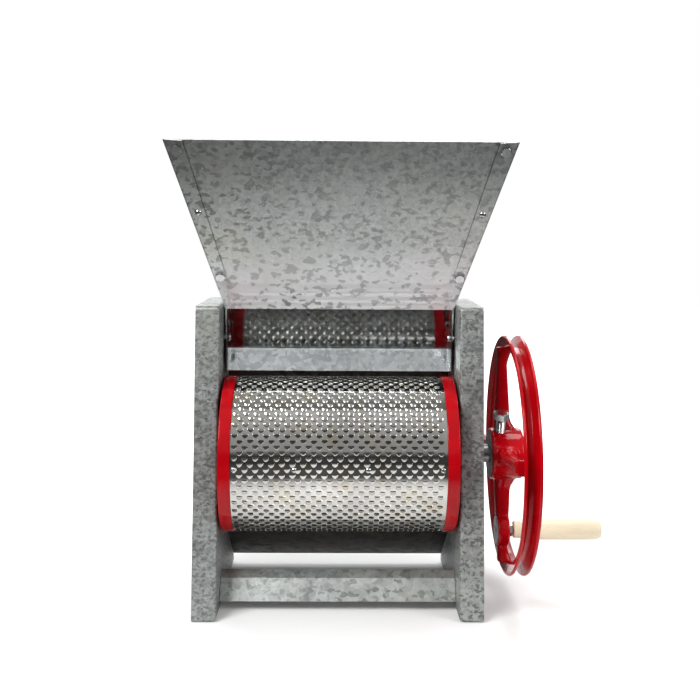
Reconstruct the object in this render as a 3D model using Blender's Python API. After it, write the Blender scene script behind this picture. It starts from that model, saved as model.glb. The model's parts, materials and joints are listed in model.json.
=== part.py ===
"""Hand-cranked fruit pulper: sheet-metal frame and hopper, punched drum, pulley hand wheel.

Machine axes: X runs along the drum shaft (+X towards the hand wheel), Y from the open
drum side (-Y) to the breast-plate side (+Y), Z up from the bench.  Y = 0 is the shaft line
and X = 0 is half way between the two side frames.  Every piece hangs under one empty that
puts the origin at the bottom centre of the whole machine.
"""

import math

import bmesh
import bpy
from mathutils import Matrix, Vector

# ------------------------------------------------------------------ clearances
TOUCH = 0.0003            # gap kept between two pieces that touch
RUNNING = 0.00006         # radial gap of a shaft in its bore, measured at the flats

# ------------------------------------------------------------------ side frames
FRAME_HEIGHT = 0.328
FRAME_INNER_HALF = 0.1275         # middle of the machine to the inner face of a web
FRAME_FLANGE = 0.0256             # how far the folded edges stand out of the web
FRAME_SHEET = 0.0020
FRAME_CENTRE_Y = 0.0330
FRAME_TOP_HALF = 0.0705
FRAME_FOOT_HALF = 0.1000
FRAME_CORNER_RADIUS = 0.0040
FRAME_BEND_RADIUS = 0.0030
FOOT_HOLE_RADIUS = 0.0045
FOOT_HOLE_SPACING = 0.1300

# ------------------------------------------------------------------ shaft and bearings
AXIS_HEIGHT = 0.1642
SHAFT_RADIUS = 0.0100
SHAFT_SEGMENTS = 32
SHAFT_HOLE_CLEARANCE = 0.0020     # round hole in each web
BEARING_FLANGE_THICK = 0.0050
BEARING_LENGTH = 0.0150
BEARING_BOSS_RADIUS = 0.0190
BEARING_BOLT_OFFSET = 0.0300
BEARING_EAR_RADIUS = 0.0110
BEARING_SCREW_RADIUS = 0.0030
BEARING_SCREW_HEAD = 0.0016
BEARING_SCREW_TAIL = 0.0040
SHAFT_COLLAR_LENGTH = 0.0080
SHAFT_COLLAR_RADIUS = 0.0160
SHAFT_COLLAR_SCREW_RADIUS = 0.0025
SHAFT_CHAMFER = 0.0010
KEY_SIZE = 0.0060

# ------------------------------------------------------------------ drum
DRUM_RING_RADIUS = 0.0843
DRUM_RING_WIDTH = 0.0127
DRUM_RING_OUTER_X = FRAME_INNER_HALF - 0.0028
DRUM_SKIN_RADIUS = 0.0829
DRUM_SKIN_THICK = 0.0008
DRUM_DISC_THICK = 0.0060
DRUM_HUB_RADIUS = 0.0240
DRUM_HUB_LENGTH = 0.0300
DRUM_SEGMENTS = 48
SEAM_SCREW_POSITIONS = (-0.1080, -0.0460, 0.0300, 0.1070)
SEAM_SCREW_HEAD_RADIUS = 0.0026
SEAM_SCREW_SHANK_RADIUS = 0.0013
SEAM_SCREW_LENGTH = 0.0120
SEAM_SCREW_HEAD = 0.0011
DRUM_RIM_THICK = 0.0080
DRUM_RIM_EDGE = 0.0010
SEAM_HOLE_MARGIN = 0.0020

# ------------------------------------------------------------------ hand wheel
WHEEL_RADIUS = 0.1300
WHEEL_CREST_SPACING = 0.0152
WHEEL_WALL = 0.0034
WHEEL_GROOVE_DEPTH = 0.0115
WHEEL_RIM_DEPTH = 0.0155
WHEEL_HUB_RADIUS = 0.0275
WHEEL_HUB_NEAR_X = FRAME_INNER_HALF + 0.0380
WHEEL_CENTRE_X = WHEEL_HUB_NEAR_X + 0.0255
WHEEL_HUB_LENGTH = 0.0360
WHEEL_SEGMENTS = 56
WHEEL_GROOVE_FLOOR_HALF = 0.0036
WHEEL_HUB_CHAMFER = 0.0012
SPOKE_SIDES = 12
SPOKE_SQUARENESS = 0.6            # exponent of the spoke section: 1 is an ellipse, 0 a box
SPOKE_CENTRE_X = WHEEL_HUB_NEAR_X + 0.0147
SPOKE_HUB_SECTION = (0.0086, 0.0068)      # half thickness along X, half width in the wheel's plane
SPOKE_RIM_SECTION = (0.0056, 0.0055)
SPOKE_FLARE = 0.0030
WHEEL_TURN = math.radians(-5.0)           # the first spoke leans this far from upright at rest
SET_BOLT_X = WHEEL_HUB_NEAR_X + 0.0115
SET_BOLT_TILT = math.radians(16.0)
SET_BOLT_RADIUS = 0.0050
SET_BOLT_STANDOFF = 0.0152
SET_BOLT_SEAT_DEPTH = 0.0012
CRANK_RADIUS = 0.0832
CRANK_BOSS_RADIUS = 0.0168
CRANK_BOLT_RADIUS = 0.0040
CRANK_BOLT_HEAD_RADIUS = 0.0064
CRANK_BOLT_HEAD = 0.0040
CRANK_BOSS_PROUD = 0.0003         # boss faces stand this proud of the spoke
CRANK_NUT_ACROSS_FLATS = 0.0130
CRANK_NUT_THICK = 0.0040

# ------------------------------------------------------------------ grip
GRIP_START_X = WHEEL_HUB_NEAR_X + 0.0268
GRIP_LENGTH = 0.0962
GRIP_BODY_RADIUS = 0.0109
GRIP_COLLAR_RADIUS = 0.0090
GRIP_NECK_RADIUS = 0.0066
GRIP_COUNTERBORE_DEPTH = 0.0070
GRIP_SEGMENTS = 24

# ------------------------------------------------------------------ hopper
HOPPER_BASE_Z = 0.3225
HOPPER_HEIGHT = 0.1750
HOPPER_BASE_HALF_X = FRAME_INNER_HALF - 0.0023
HOPPER_BASE_HALF_Y = 0.0350
HOPPER_SIDE_FLARE = 0.0505
HOPPER_END_FLARE = 0.1130
HOPPER_SHEET = 0.0012
HOPPER_LAP_TOP = 0.0192
HOPPER_LAP_BASE = 0.0035
HOPPER_LAP_KINK_WIDTH = 0.0138
HOPPER_LAP_KINK_HEIGHT = 0.0350
HOPPER_SKIRT_DEPTH = 0.0360
HOPPER_SKIRT_HALF_Y = 0.0260
HOPPER_BOLT_RADIUS = 0.0030
HOPPER_BOLT_ACROSS_FLATS = 0.0100
HOPPER_BOLT_HEAD = 0.0040
HOPPER_RIVET_RADIUS = 0.0016
HOPPER_RIVET_HEAD_RADIUS = 0.0034
HOPPER_BOLT_HEIGHTS = (0.0372, 0.1665)
HOPPER_RIVET_HEIGHT = 0.1040

# ------------------------------------------------------------------ inner plates
PLATE_SHEET = 0.0012
PLATE_END_GAP = 0.0005            # the front cross plate stops this short of each web
GUIDE_TOP = (0.0042, 0.3270)      # (Y, Z) of the guide plate's front face
GUIDE_CREASE = (0.0350, 0.2760)
GUIDE_LIP = (0.0200, 0.2520)
GUIDE_FLANGE_FRONT_Y = 0.0015
GUIDE_FLANGE_X = HOPPER_BASE_HALF_X - HOPPER_SHEET - TOUCH
GUIDE_SPARE_HOLE = (0.0105, 0.2590)
GUIDE_SPARE_HOLE_RADIUS = 0.0021
GUIDE_SCREW_OFFSET = (0.0105, 0.0140)      # from the flange's front edge and above the crease
WEB_SCREW_RADIUS = 0.0025
WEB_SCREW_HEAD = 0.0022
WEB_SCREW_TAIL = 0.0050
PLATE_BEND_RADIUS = 0.0020
CHUTE_BEND_RADIUS = 0.0030
THROAT_TOP_Z = 0.3140
THROAT_FOOT_Z = 0.2250
THROAT_FLANGE_DEPTH = 0.0200
THROAT_FLANGE_CLIP = 0.0150
FRONT_PLATE_PATH = ((-0.0120, 0.0375), (-0.0215, 0.0310), (-0.0334, 0.0100))   # (Y, Z) of its front face
CHUTE_PATH = ((0.0330, 0.0760), (0.0400, 0.0668), (0.1250, 0.0120))            # (Y, Z) of its upper face
CHUTE_SHEET = 0.0015

# ------------------------------------------------------------------ breast plate and adjusters
BREAST_GAP = 0.0040               # drum skin teeth to breast plate at rest
TOOTH_HEIGHT = 0.0012
BREAST_THICK = 0.0040
BREAST_HALF_X = FRAME_INNER_HALF - 0.0040
BREAST_TOP_ANGLE = math.radians(54.0)
BREAST_FOOT_ANGLE = math.radians(124.0)
BREAST_LIP_HEIGHT = 0.0150
BREAST_BAR_Y = 0.1005
BREAST_BAR_THICK = 0.0040
BREAST_BAR_HALF_HEIGHT = 0.0120
BREAST_RIB_THICK = 0.0040
BREAST_TRAVEL_OUT = 0.0040
BREAST_STEPS = 10
BREAST_BAR_SHARE = 0.90           # bar length over plate length
BREAST_RIB_SHARE = 0.86           # outer ribs' place along the plate's half length
ADJUSTER_X = 0.0800
ADJUSTER_RADIUS = 0.0040
ADJUSTER_BAR_THICK = 0.0030
ADJUSTER_BAR_HALF_HEIGHT = 0.0140
ADJUSTER_COLLAR_THICK = 0.0025
ADJUSTER_COLLAR_RADIUS = 0.0070
ADJUSTER_TIP_REACH = 0.0030       # screw thread showing past the breast bar
ADJUSTER_HEAD_RADIUS = 0.0064
ADJUSTER_HEAD = 0.0052
ADJUSTER_COLLAR_SLACK = 0.0020    # breast bar to collar with the plate fully out
HOLE_MARGIN = 0.0030              # cutters stand this far past the metal they cut

SCREW_SEGMENTS = 12               # bolts with hexagonal heads and their holes
RIVET_SEGMENTS = 8


# ------------------------------------------------------------------ scene helpers
def clear_scene():
    for item in list(bpy.data.objects):
        bpy.data.objects.remove(item, do_unlink=True)


def make_material(name, colour, roughness, metallic):
    material = bpy.data.materials.new(name)
    material.use_nodes = True
    shader = material.node_tree.nodes["Principled BSDF"]
    shader.inputs["Base Color"].default_value = (*colour, 1.0)
    shader.inputs["Roughness"].default_value = roughness
    shader.inputs["Metallic"].default_value = metallic
    return material


def add_empty(name, location, parent=None):
    empty = bpy.data.objects.new(name, None)
    empty.location = location
    empty.parent = parent
    bpy.context.collection.objects.link(empty)
    return empty


def add_object(name, bm, material, parent, location=(0.0, 0.0, 0.0), smooth_angle=None):
    """Closes a bmesh into a named object under its parent."""
    bmesh.ops.remove_doubles(bm, verts=bm.verts, dist=1e-7)
    bmesh.ops.recalc_face_normals(bm, faces=bm.faces)
    mesh = bpy.data.meshes.new(name)
    bm.to_mesh(mesh)
    bm.free()
    if smooth_angle is not None:
        mesh.shade_smooth()
        mesh.set_sharp_from_angle(angle=math.radians(smooth_angle))
    if material is not None:
        mesh.materials.append(material)
    item = bpy.data.objects.new(name, mesh)
    item.location = location
    item.parent = parent
    bpy.context.collection.objects.link(item)
    return item


def cut(target, cutter):
    """Takes the cutter's shape out of the target and hides the cutter."""
    combine(target, cutter, "DIFFERENCE")


def combine(target, tool, operation):
    modifier = target.modifiers.new(operation.lower(), "BOOLEAN")
    modifier.operation = operation
    modifier.solver = "EXACT"
    modifier.object = tool
    tool.hide_render = True
    tool.display_type = "WIRE"


# ------------------------------------------------------------------ shape helpers
def ring_along_x(bm, radius, x, segments, centre=(0.0, 0.0)):
    points = []
    for index in range(segments):
        angle = 2.0 * math.pi * index / segments
        y = centre[0] + radius * math.cos(angle)
        z = centre[1] + radius * math.sin(angle)
        points.append(bm.verts.new((x, y, z)))
    return points


def bridge(bm, first, second):
    count = len(first)
    for index in range(count):
        after = (index + 1) % count
        bm.faces.new((first[index], first[after], second[after], second[index]))


def turned(profile, segments, bored=False):
    """Solid turned about X: profile holds (x, radius) points from end to end.

    A bored profile is a closed loop of points; a plain one gets flat end caps.
    """
    bm = bmesh.new()
    rings = [ring_along_x(bm, radius, x, segments) for x, radius in profile]
    for first, second in zip(rings, rings[1:]):
        bridge(bm, first, second)
    if bored:
        bridge(bm, rings[-1], rings[0])
    else:
        bm.faces.new(rings[0])
        bm.faces.new(rings[-1])
    return bm


def bored_profile(profile, bore):
    """Outer profile plus a straight bore back to its start."""
    return list(profile) + [(profile[-1][0], bore), (profile[0][0], bore)]


def rod_along(bm, start, direction, length, radius, segments=SCREW_SEGMENTS, turn=0.0):
    """Straight rod between two points as one closed body in the bmesh."""
    axis = Vector(direction).normalized()
    matrix = axis.to_track_quat("Z", "Y").to_matrix().to_4x4() @ Matrix.Rotation(turn, 4, "Z")
    matrix.translation = Vector(start) + axis * (length / 2.0)
    bmesh.ops.create_cone(bm, cap_ends=True, segments=segments, radius1=radius,
                          radius2=radius, depth=length, matrix=matrix)


def stepped_rod(start, direction, steps, segments=SCREW_SEGMENTS):
    """Steps stacked along one axis as one closed body.

    Each step is (length, radius, sides): sides is 6 for a hexagon and 0 for a round step.
    """
    bm = bmesh.new()
    frame = Vector(direction).normalized().to_track_quat("Z", "Y").to_matrix()
    rings = []
    distance = 0.0
    for length, radius, sides in steps:
        for offset in (0.0, length):
            ring = []
            for index in range(segments):
                angle = 2.0 * math.pi * index / segments
                reach = radius
                if sides == 6:
                    reach = radius / math.cos(angle % (math.pi / 3.0) - math.pi / 6.0)
                across = Vector((math.cos(angle) * reach, math.sin(angle) * reach, distance + offset))
                ring.append(bm.verts.new(Vector(start) + frame @ across))
            rings.append(ring)
        distance += length
    for first, second in zip(rings, rings[1:]):
        bridge(bm, first, second)
    bm.faces.new(rings[0])
    bm.faces.new(rings[-1])
    return bm


def prism(points, offset):
    """Flat polygon pushed out along an offset vector."""
    bm = bmesh.new()
    shift = Vector(offset)
    first = [bm.verts.new(Vector(point)) for point in points]
    second = [bm.verts.new(Vector(point) + shift) for point in points]
    bridge(bm, first, second)
    bm.faces.new(first)
    bm.faces.new(second)
    return bm


def box(low, high):
    points = [(low[0], low[1], low[2]), (high[0], low[1], low[2]),
              (high[0], high[1], low[2]), (low[0], high[1], low[2])]
    return prism(points, (0.0, 0.0, high[2] - low[2]))


def rounded_corner(before, corner, after, radius, steps):
    """Points of the arc that rounds one corner of a flat outline."""
    corner = Vector(corner)
    arm_in = (Vector(before) - corner).normalized()
    arm_out = (Vector(after) - corner).normalized()
    half_angle = arm_in.angle(arm_out) / 2.0
    back = radius / math.tan(half_angle)
    start = corner + arm_in * back
    end = corner + arm_out * back
    centre = corner + (arm_in + arm_out).normalized() * (radius / math.sin(half_angle))
    points = []
    for index in range(steps + 1):
        share = index / steps
        spoke = (start - centre).lerp(end - centre, share).normalized() * radius
        points.append(centre + spoke)
    return points


def bent_path(path, radius, steps=3):
    """Open (Y, Z) path with its inner corners rounded."""
    points = [Vector(path[0])]
    for before, corner, after in zip(path, path[1:], path[2:]):
        points += rounded_corner(before, corner, after, radius, steps)
    points.append(Vector(path[-1]))
    return points


def bent_strip(path, thickness, low_x, high_x, bend_radius):
    """Sheet of constant section along X; its thickness lies to the left of the path."""
    centre = bent_path(path, bend_radius)
    normals = []
    for index, point in enumerate(centre):
        ahead = centre[min(index + 1, len(centre) - 1)] - point
        behind = point - centre[max(index - 1, 0)]
        direction = ahead.normalized() + behind.normalized()
        direction.normalize()
        normals.append(Vector((-direction.y, direction.x)))
    back = [point + normal * thickness for point, normal in zip(centre, normals)]
    outline = centre + back[::-1]
    points = [(low_x, point.x, point.y) for point in outline]
    return prism(points, (high_x - low_x, 0.0, 0.0))


def inset_polygon(corners, distance):
    """Convex polygon with every side moved inwards by the distance."""
    count = len(corners)
    lines = []
    for index in range(count):
        start = Vector(corners[index])
        along = (Vector(corners[(index + 1) % count]) - start).normalized()
        inward = Vector((-along.y, along.x))
        lines.append((start + inward * distance, along))
    moved = []
    for index in range(count):
        point_a, along_a = lines[index - 1]
        point_b, along_b = lines[index]
        cross = along_a.x * along_b.y - along_a.y * along_b.x
        gap = point_b - point_a
        reach = (gap.x * along_b.y - gap.y * along_b.x) / cross
        moved.append(point_a + along_a * reach)
    return moved


def rounded_polygon(corners, radius, steps=3):
    points = []
    count = len(corners)
    for index in range(count):
        points += rounded_corner(corners[index - 1], corners[index],
                                 corners[(index + 1) % count], radius, steps)
    return points


# ------------------------------------------------------------------ side frames
def frame_corners():
    """Outer (Y, Z) corners of a side frame, anticlockwise."""
    return [(FRAME_CENTRE_Y - FRAME_FOOT_HALF, 0.0), (FRAME_CENTRE_Y + FRAME_FOOT_HALF, 0.0),
            (FRAME_CENTRE_Y + FRAME_TOP_HALF, FRAME_HEIGHT),
            (FRAME_CENTRE_Y - FRAME_TOP_HALF, FRAME_HEIGHT)]


def frame_layers():
    """(inset, distance from the web's inner face) pairs across the folded sheet."""
    layers = []
    steps = 3
    for index in range(steps + 1):
        angle = math.pi / 2.0 * index / steps
        layers.append((FRAME_BEND_RADIUS * (1.0 - math.sin(angle)),
                       FRAME_BEND_RADIUS * (1.0 - math.cos(angle))))
    layers.append((0.0, FRAME_FLANGE))
    layers.append((FRAME_SHEET, FRAME_FLANGE))
    inner_radius = FRAME_BEND_RADIUS - FRAME_SHEET
    for index in range(steps):
        angle = math.pi / 2.0 * (1.0 - index / (steps - 1))
        layers.append((FRAME_BEND_RADIUS - inner_radius * math.sin(angle),
                       FRAME_BEND_RADIUS - inner_radius * math.cos(angle)))
    return layers


def make_side_frame(name, side, material, parent):
    """Pan-shaped frame folded from one sheet, its edges turned away from the drum."""
    bm = bmesh.new()
    rings = []
    for inset, depth in frame_layers():
        outline = inset_polygon(frame_corners(), inset)
        radius = max(FRAME_CORNER_RADIUS - inset, FRAME_SHEET / 2.0)
        x = side * (FRAME_INNER_HALF + depth)
        points = rounded_polygon(outline, radius)
        rings.append([bm.verts.new((x, point.x, point.y)) for point in points])
    for first, second in zip(rings, rings[1:]):
        bridge(bm, first, second)
    bm.faces.new(rings[0])
    bm.faces.new(rings[-1])
    frame = add_object(name, bm, material, parent, smooth_angle=35)

    cutter = bmesh.new()
    reach = FRAME_SHEET * 4.0
    start_x = side * (FRAME_INNER_HALF - FRAME_SHEET)
    holes = [(0.0, AXIS_HEIGHT, SHAFT_RADIUS + SHAFT_HOLE_CLEARANCE, 24)]
    for y, z in bearing_bolt_places():
        holes.append((y, z, BEARING_SCREW_RADIUS + TOUCH, SCREW_SEGMENTS))
    for y, z in guide_screw_places():
        holes.append((y, z, WEB_SCREW_RADIUS + TOUCH, SCREW_SEGMENTS))
    for y, z in skirt_rivet_places():
        holes.append((y, z, HOPPER_RIVET_RADIUS + TOUCH, SCREW_SEGMENTS))
    for y, z, radius, segments in holes:
        rod_along(cutter, (start_x, y, z), (side, 0.0, 0.0), reach, radius, segments)
    foot_x = side * (FRAME_INNER_HALF + (FRAME_SHEET + FRAME_FLANGE) / 2.0)
    for offset in (-FOOT_HOLE_SPACING / 2.0, FOOT_HOLE_SPACING / 2.0):
        rod_along(cutter, (foot_x, FRAME_CENTRE_Y + offset, -FRAME_SHEET), (0.0, 0.0, 1.0),
                  FRAME_SHEET * 3.0, FOOT_HOLE_RADIUS, SCREW_SEGMENTS)
    cut(frame, add_object(name + "_holes", cutter, None, parent))
    return frame




def bearing_bolt_places():
    return [(-BEARING_BOLT_OFFSET, AXIS_HEIGHT), (BEARING_BOLT_OFFSET, AXIS_HEIGHT)]


def guide_screw_places():
    """(Y, Z) of the screw through each side flange of the guide plate."""
    offset_y, offset_z = GUIDE_SCREW_OFFSET
    return [(GUIDE_FLANGE_FRONT_Y + offset_y, GUIDE_CREASE[1] + offset_z)]


def skirt_rivet_places():
    return [(FRAME_CENTRE_Y + HOPPER_SKIRT_HALF_Y * 0.55, HOPPER_BASE_Z - HOPPER_SKIRT_DEPTH * 0.55)]


# ------------------------------------------------------------------ hopper
def hopper_point(side, end, height, side_inset, end_inset):
    """Point on the hopper's four walls: side and end are -1 or +1, insets run inwards."""
    side_slope = HOPPER_SIDE_FLARE / HOPPER_HEIGHT
    end_slope = HOPPER_END_FLARE / HOPPER_HEIGHT
    half_x = HOPPER_BASE_HALF_X + height * side_slope - side_inset * math.hypot(1.0, side_slope)
    half_y = HOPPER_BASE_HALF_Y + height * end_slope - end_inset * math.hypot(1.0, end_slope)
    return Vector((side * half_x, FRAME_CENTRE_Y + end * half_y, HOPPER_BASE_Z + height))


def hopper_end_normal(end):
    slope = HOPPER_END_FLARE / HOPPER_HEIGHT
    return Vector((0.0, end, -slope)).normalized()


def lap_width(height):
    """Width of the folded lap of a side wall over an end wall."""
    if height < HOPPER_LAP_KINK_HEIGHT:
        share = height / HOPPER_LAP_KINK_HEIGHT
        return HOPPER_LAP_BASE + (HOPPER_LAP_KINK_WIDTH - HOPPER_LAP_BASE) * share
    share = (height - HOPPER_LAP_KINK_HEIGHT) / (HOPPER_HEIGHT - HOPPER_LAP_KINK_HEIGHT)
    return HOPPER_LAP_KINK_WIDTH + (HOPPER_LAP_TOP - HOPPER_LAP_KINK_WIDTH) * share


def eight_point_body(lower, upper):
    """Closed body between two four-point loops."""
    bm = bmesh.new()
    first = [bm.verts.new(point) for point in lower]
    second = [bm.verts.new(point) for point in upper]
    bridge(bm, first, second)
    bm.faces.new(first)
    bm.faces.new(second)
    return bm


def fastener_place(side, end, height):
    """Point on the outer face of a lap, half way across it."""
    point = hopper_point(side, end, height, 0.0, 0.0)
    point.x -= side * lap_width(height) * 0.56
    return point


def hopper_fasteners():
    """(kind, side, end, place) of every bolt and rivet of the hopper's four corners."""
    rows = []
    for end in (-1, 1):
        for side in (-1, 1):
            for height in HOPPER_BOLT_HEIGHTS:
                rows.append(("bolt", side, end, fastener_place(side, end, height)))
            rows.append(("rivet", side, end, fastener_place(side, end, HOPPER_RIVET_HEIGHT)))
    return rows


def add_fastener_cutter(name, parent, wanted_side=None, wanted_end=None):
    bm = bmesh.new()
    for kind, side, end, place in hopper_fasteners():
        if wanted_side is not None and side != wanted_side:
            continue
        if wanted_end is not None and end != wanted_end:
            continue
        radius = (HOPPER_BOLT_RADIUS if kind == "bolt" else HOPPER_RIVET_RADIUS) + TOUCH
        normal = hopper_end_normal(end)
        depth = HOPPER_SHEET * 6.0
        rod_along(bm, place + normal * depth / 2.0, -normal, depth, radius)
    return add_object(name, bm, None, parent)


def make_hopper_side(name, side, material, parent):
    """Side wall with a lap folded over each end wall and a skirt down inside the frame."""
    t = HOPPER_SHEET
    levels = (0.0, HOPPER_HEIGHT)
    loops = []
    for height in levels:
        loops.append([hopper_point(side, -1, height, 0.0, t / 2.0),
                      hopper_point(side, 1, height, 0.0, t / 2.0),
                      hopper_point(side, 1, height, t, t / 2.0),
                      hopper_point(side, -1, height, t, t / 2.0)])
    wall = add_object(name, eight_point_body(*loops), material, parent)

    lap_top = HOPPER_HEIGHT - t
    for end, label in ((-1, "front"), (1, "rear")):
        outline = []
        for height in (0.0, lap_top):
            outline.append(hopper_point(side, end, height, 0.0, 0.0))
        for height in (lap_top, HOPPER_LAP_KINK_HEIGHT, 0.0):
            point = hopper_point(side, end, height, 0.0, 0.0)
            point.x -= side * lap_width(height)
            outline.append(point)
        lap = prism(outline, -hopper_end_normal(end) * t)
        combine(wall, add_object(f"{name}_{label}_lap", lap, None, parent), "UNION")

    inner_x = HOPPER_BASE_HALF_X - t
    top = hopper_point(side, 1, t * 2.0, t, t)
    low_y = FRAME_CENTRE_Y - HOPPER_SKIRT_HALF_Y
    high_y = FRAME_CENTRE_Y + HOPPER_SKIRT_HALF_Y
    low_z = HOPPER_BASE_Z - HOPPER_SKIRT_DEPTH
    points = [(inner_x * side, low_y, low_z), (inner_x * side, high_y, low_z),
              (inner_x * side, high_y, top.z), (inner_x * side, low_y, top.z)]
    skirt_body = prism(points, (side * t, 0.0, 0.0))
    combine(wall, add_object(name + "_skirt", skirt_body, None, parent), "UNION")
    cut(wall, add_fastener_cutter(name + "_holes", parent, wanted_side=side))

    skirt_holes = bmesh.new()
    spots = [(y, z, HOPPER_RIVET_RADIUS) for y, z in skirt_rivet_places()]
    spots += [(y, z, WEB_SCREW_RADIUS) for y, z in guide_screw_places()]
    for y, z, radius in spots:
        rod_along(skirt_holes, (side * (inner_x - t), y, z), (side, 0.0, 0.0), t * 4.0, radius + TOUCH)
    cut(wall, add_object(name + "_skirt_holes", skirt_holes, None, parent))
    return wall


def make_hopper_end(name, end, material, parent):
    """Front or rear wall, lying inside the two laps."""
    t = HOPPER_SHEET
    outer = t + TOUCH
    inner = outer + t
    loops = []
    for height in (0.0, HOPPER_HEIGHT):
        loops.append([hopper_point(-1, end, height, outer, outer),
                      hopper_point(1, end, height, outer, outer),
                      hopper_point(1, end, height, outer, inner),
                      hopper_point(-1, end, height, outer, inner)])
    wall = add_object(name, eight_point_body(*loops), material, parent)
    cut(wall, add_fastener_cutter(name + "_holes", parent, wanted_end=end))
    return wall


def rivet_head_height():
    return HOPPER_RIVET_HEAD_RADIUS * 0.55


def rivet_steps(grip):
    """Domed head, shank and closed tail of one rivet."""
    head = rivet_head_height()
    crown = HOPPER_RIVET_HEAD_RADIUS * 0.8
    return [(head * 0.5, crown, 0), (head * 0.5, HOPPER_RIVET_HEAD_RADIUS, 0),
            (grip, HOPPER_RIVET_RADIUS, 0), (head * 0.5, crown, 0)]


def make_hopper_fasteners(bolt_material, rivet_material, parent):
    counts = {}
    for kind, side, end, place in hopper_fasteners():
        normal = hopper_end_normal(end)
        label = f"hopper_{kind}_{'front' if end < 0 else 'rear'}"
        counts[label] = counts.get(label, 0) + 1
        head = HOPPER_BOLT_HEAD if kind == "bolt" else rivet_head_height()
        start = place + normal * (head + TOUCH)
        grip = 2.0 * HOPPER_SHEET + 3.0 * TOUCH
        if kind == "bolt":
            steps = [(HOPPER_BOLT_HEAD, HOPPER_BOLT_ACROSS_FLATS / 2.0, 6),
                     (grip + 2.0 * HOPPER_BOLT_RADIUS, HOPPER_BOLT_RADIUS, 0)]
            body = stepped_rod(start, -normal, steps)
            material = bolt_material
        else:
            body = stepped_rod(start, -normal, rivet_steps(grip), RIVET_SEGMENTS)
            material = rivet_material
        add_object(f"{label}_{counts[label]}", body, material, parent, smooth_angle=35)


# ------------------------------------------------------------------ inner sheet plates
def make_guide_plate(material, parent):
    """Folded deflector under the hopper's front wall, with a side flange at each web."""
    half = GUIDE_FLANGE_X
    path = (GUIDE_LIP, GUIDE_CREASE, GUIDE_TOP)
    sheet = bent_strip(path, -PLATE_SHEET, -half, half, PLATE_BEND_RADIUS)
    plate = add_object("guide_plate", sheet, material, parent)
    for side, label in ((-1, "left"), (1, "right")):
        slack = PLATE_SHEET / 2.0
        corners = [(GUIDE_TOP[0] + slack, GUIDE_TOP[1] - PLATE_SHEET),
                   (GUIDE_CREASE[0] + slack / 2.0, GUIDE_CREASE[1]),
                   (GUIDE_LIP[0] + slack, GUIDE_LIP[1] + PLATE_SHEET),
                   (GUIDE_FLANGE_FRONT_Y, GUIDE_LIP[1] + PLATE_SHEET),
                   (GUIDE_FLANGE_FRONT_Y, GUIDE_TOP[1] - 0.0060)]
        outline = [(side * half, y, z) for y, z in corners]
        flange = prism(outline, (-side * PLATE_SHEET, 0.0, 0.0))
        combine(plate, add_object(f"guide_plate_{label}_flange", flange, None, parent), "UNION")
    holes = bmesh.new()
    spots = [(y, z, WEB_SCREW_RADIUS + TOUCH) for y, z in guide_screw_places()]
    spots.append((*GUIDE_SPARE_HOLE, GUIDE_SPARE_HOLE_RADIUS))
    for side in (-1, 1):
        for y, z, radius in spots:
            rod_along(holes, (side * (half - PLATE_SHEET * 2.0), y, z), (side, 0.0, 0.0),
                      PLATE_SHEET * 4.0, radius)
    cut(plate, add_object("guide_plate_holes", holes, None, parent))
    return plate


def make_guide_screws(material, parent):
    """Pan-head screw from inside each guide flange, through the web."""
    for side, label in ((-1, "left"), (1, "right")):
        for y, z in guide_screw_places():
            head = WEB_SCREW_HEAD
            start_x = side * (GUIDE_FLANGE_X - PLATE_SHEET - TOUCH - head)
            through = FRAME_INNER_HALF + FRAME_SHEET + WEB_SCREW_TAIL - abs(start_x) - head
            steps = [(head * 0.5, WEB_SCREW_RADIUS * 1.3, 0), (head * 0.5, WEB_SCREW_RADIUS * 1.7, 0),
                     (through, WEB_SCREW_RADIUS, 0)]
            body = stepped_rod((start_x, y, z), (side, 0.0, 0.0), steps, RIVET_SEGMENTS)
            add_object(f"guide_screw_{label}", body, material, parent, smooth_angle=35)


def make_skirt_rivets(material, parent):
    """Rivet that holds each hopper skirt to its web."""
    for side, label in ((-1, "left"), (1, "right")):
        for y, z in skirt_rivet_places():
            head = rivet_head_height()
            start_x = side * (HOPPER_BASE_HALF_X - HOPPER_SHEET - TOUCH - head)
            through = FRAME_INNER_HALF + FRAME_SHEET + TOUCH - abs(start_x) - head
            body = stepped_rod((start_x, y, z), (side, 0.0, 0.0), rivet_steps(through), RIVET_SEGMENTS)
            add_object(f"skirt_rivet_{label}", body, material, parent, smooth_angle=35)


def make_rear_throat_plate(material, parent):
    """Upright plate from the hopper's rear wall down to the breast plate."""
    half = FRAME_INNER_HALF - TOUCH
    hopper_rear = FRAME_CENTRE_Y + HOPPER_BASE_HALF_Y
    y = hopper_rear - 2.0 * PLATE_SHEET - HOPPER_SHEET - 2.0 * TOUCH
    path = ((y, THROAT_TOP_Z), (y, THROAT_FOOT_Z))
    bm = bent_strip(path, PLATE_SHEET, -half, half, 0.0)
    plate = add_object("rear_throat_plate", bm, material, parent)
    for side, label in ((-1, "left"), (1, "right")):
        low_x, high_x = sorted((side * half, side * (half - PLATE_SHEET)))
        flange = box((low_x, y + PLATE_SHEET / 2.0, THROAT_FOOT_Z + THROAT_FLANGE_CLIP),
                     (high_x, y + THROAT_FLANGE_DEPTH, THROAT_TOP_Z - PLATE_SHEET))
        combine(plate, add_object(f"rear_throat_plate_{label}_flange", flange, None, parent), "UNION")
    return plate


def make_front_cross_plate(material, parent):
    half = FRAME_INNER_HALF - PLATE_END_GAP
    bm = bent_strip(FRONT_PLATE_PATH, -CHUTE_SHEET, -half, half, PLATE_BEND_RADIUS)
    return add_object("front_cross_plate", bm, material, parent)


def make_bean_chute(material, parent):
    half = FRAME_INNER_HALF - TOUCH
    bm = bent_strip(CHUTE_PATH, CHUTE_SHEET, -half, half, CHUTE_BEND_RADIUS)
    return add_object("bean_chute", bm, material, parent)


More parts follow.
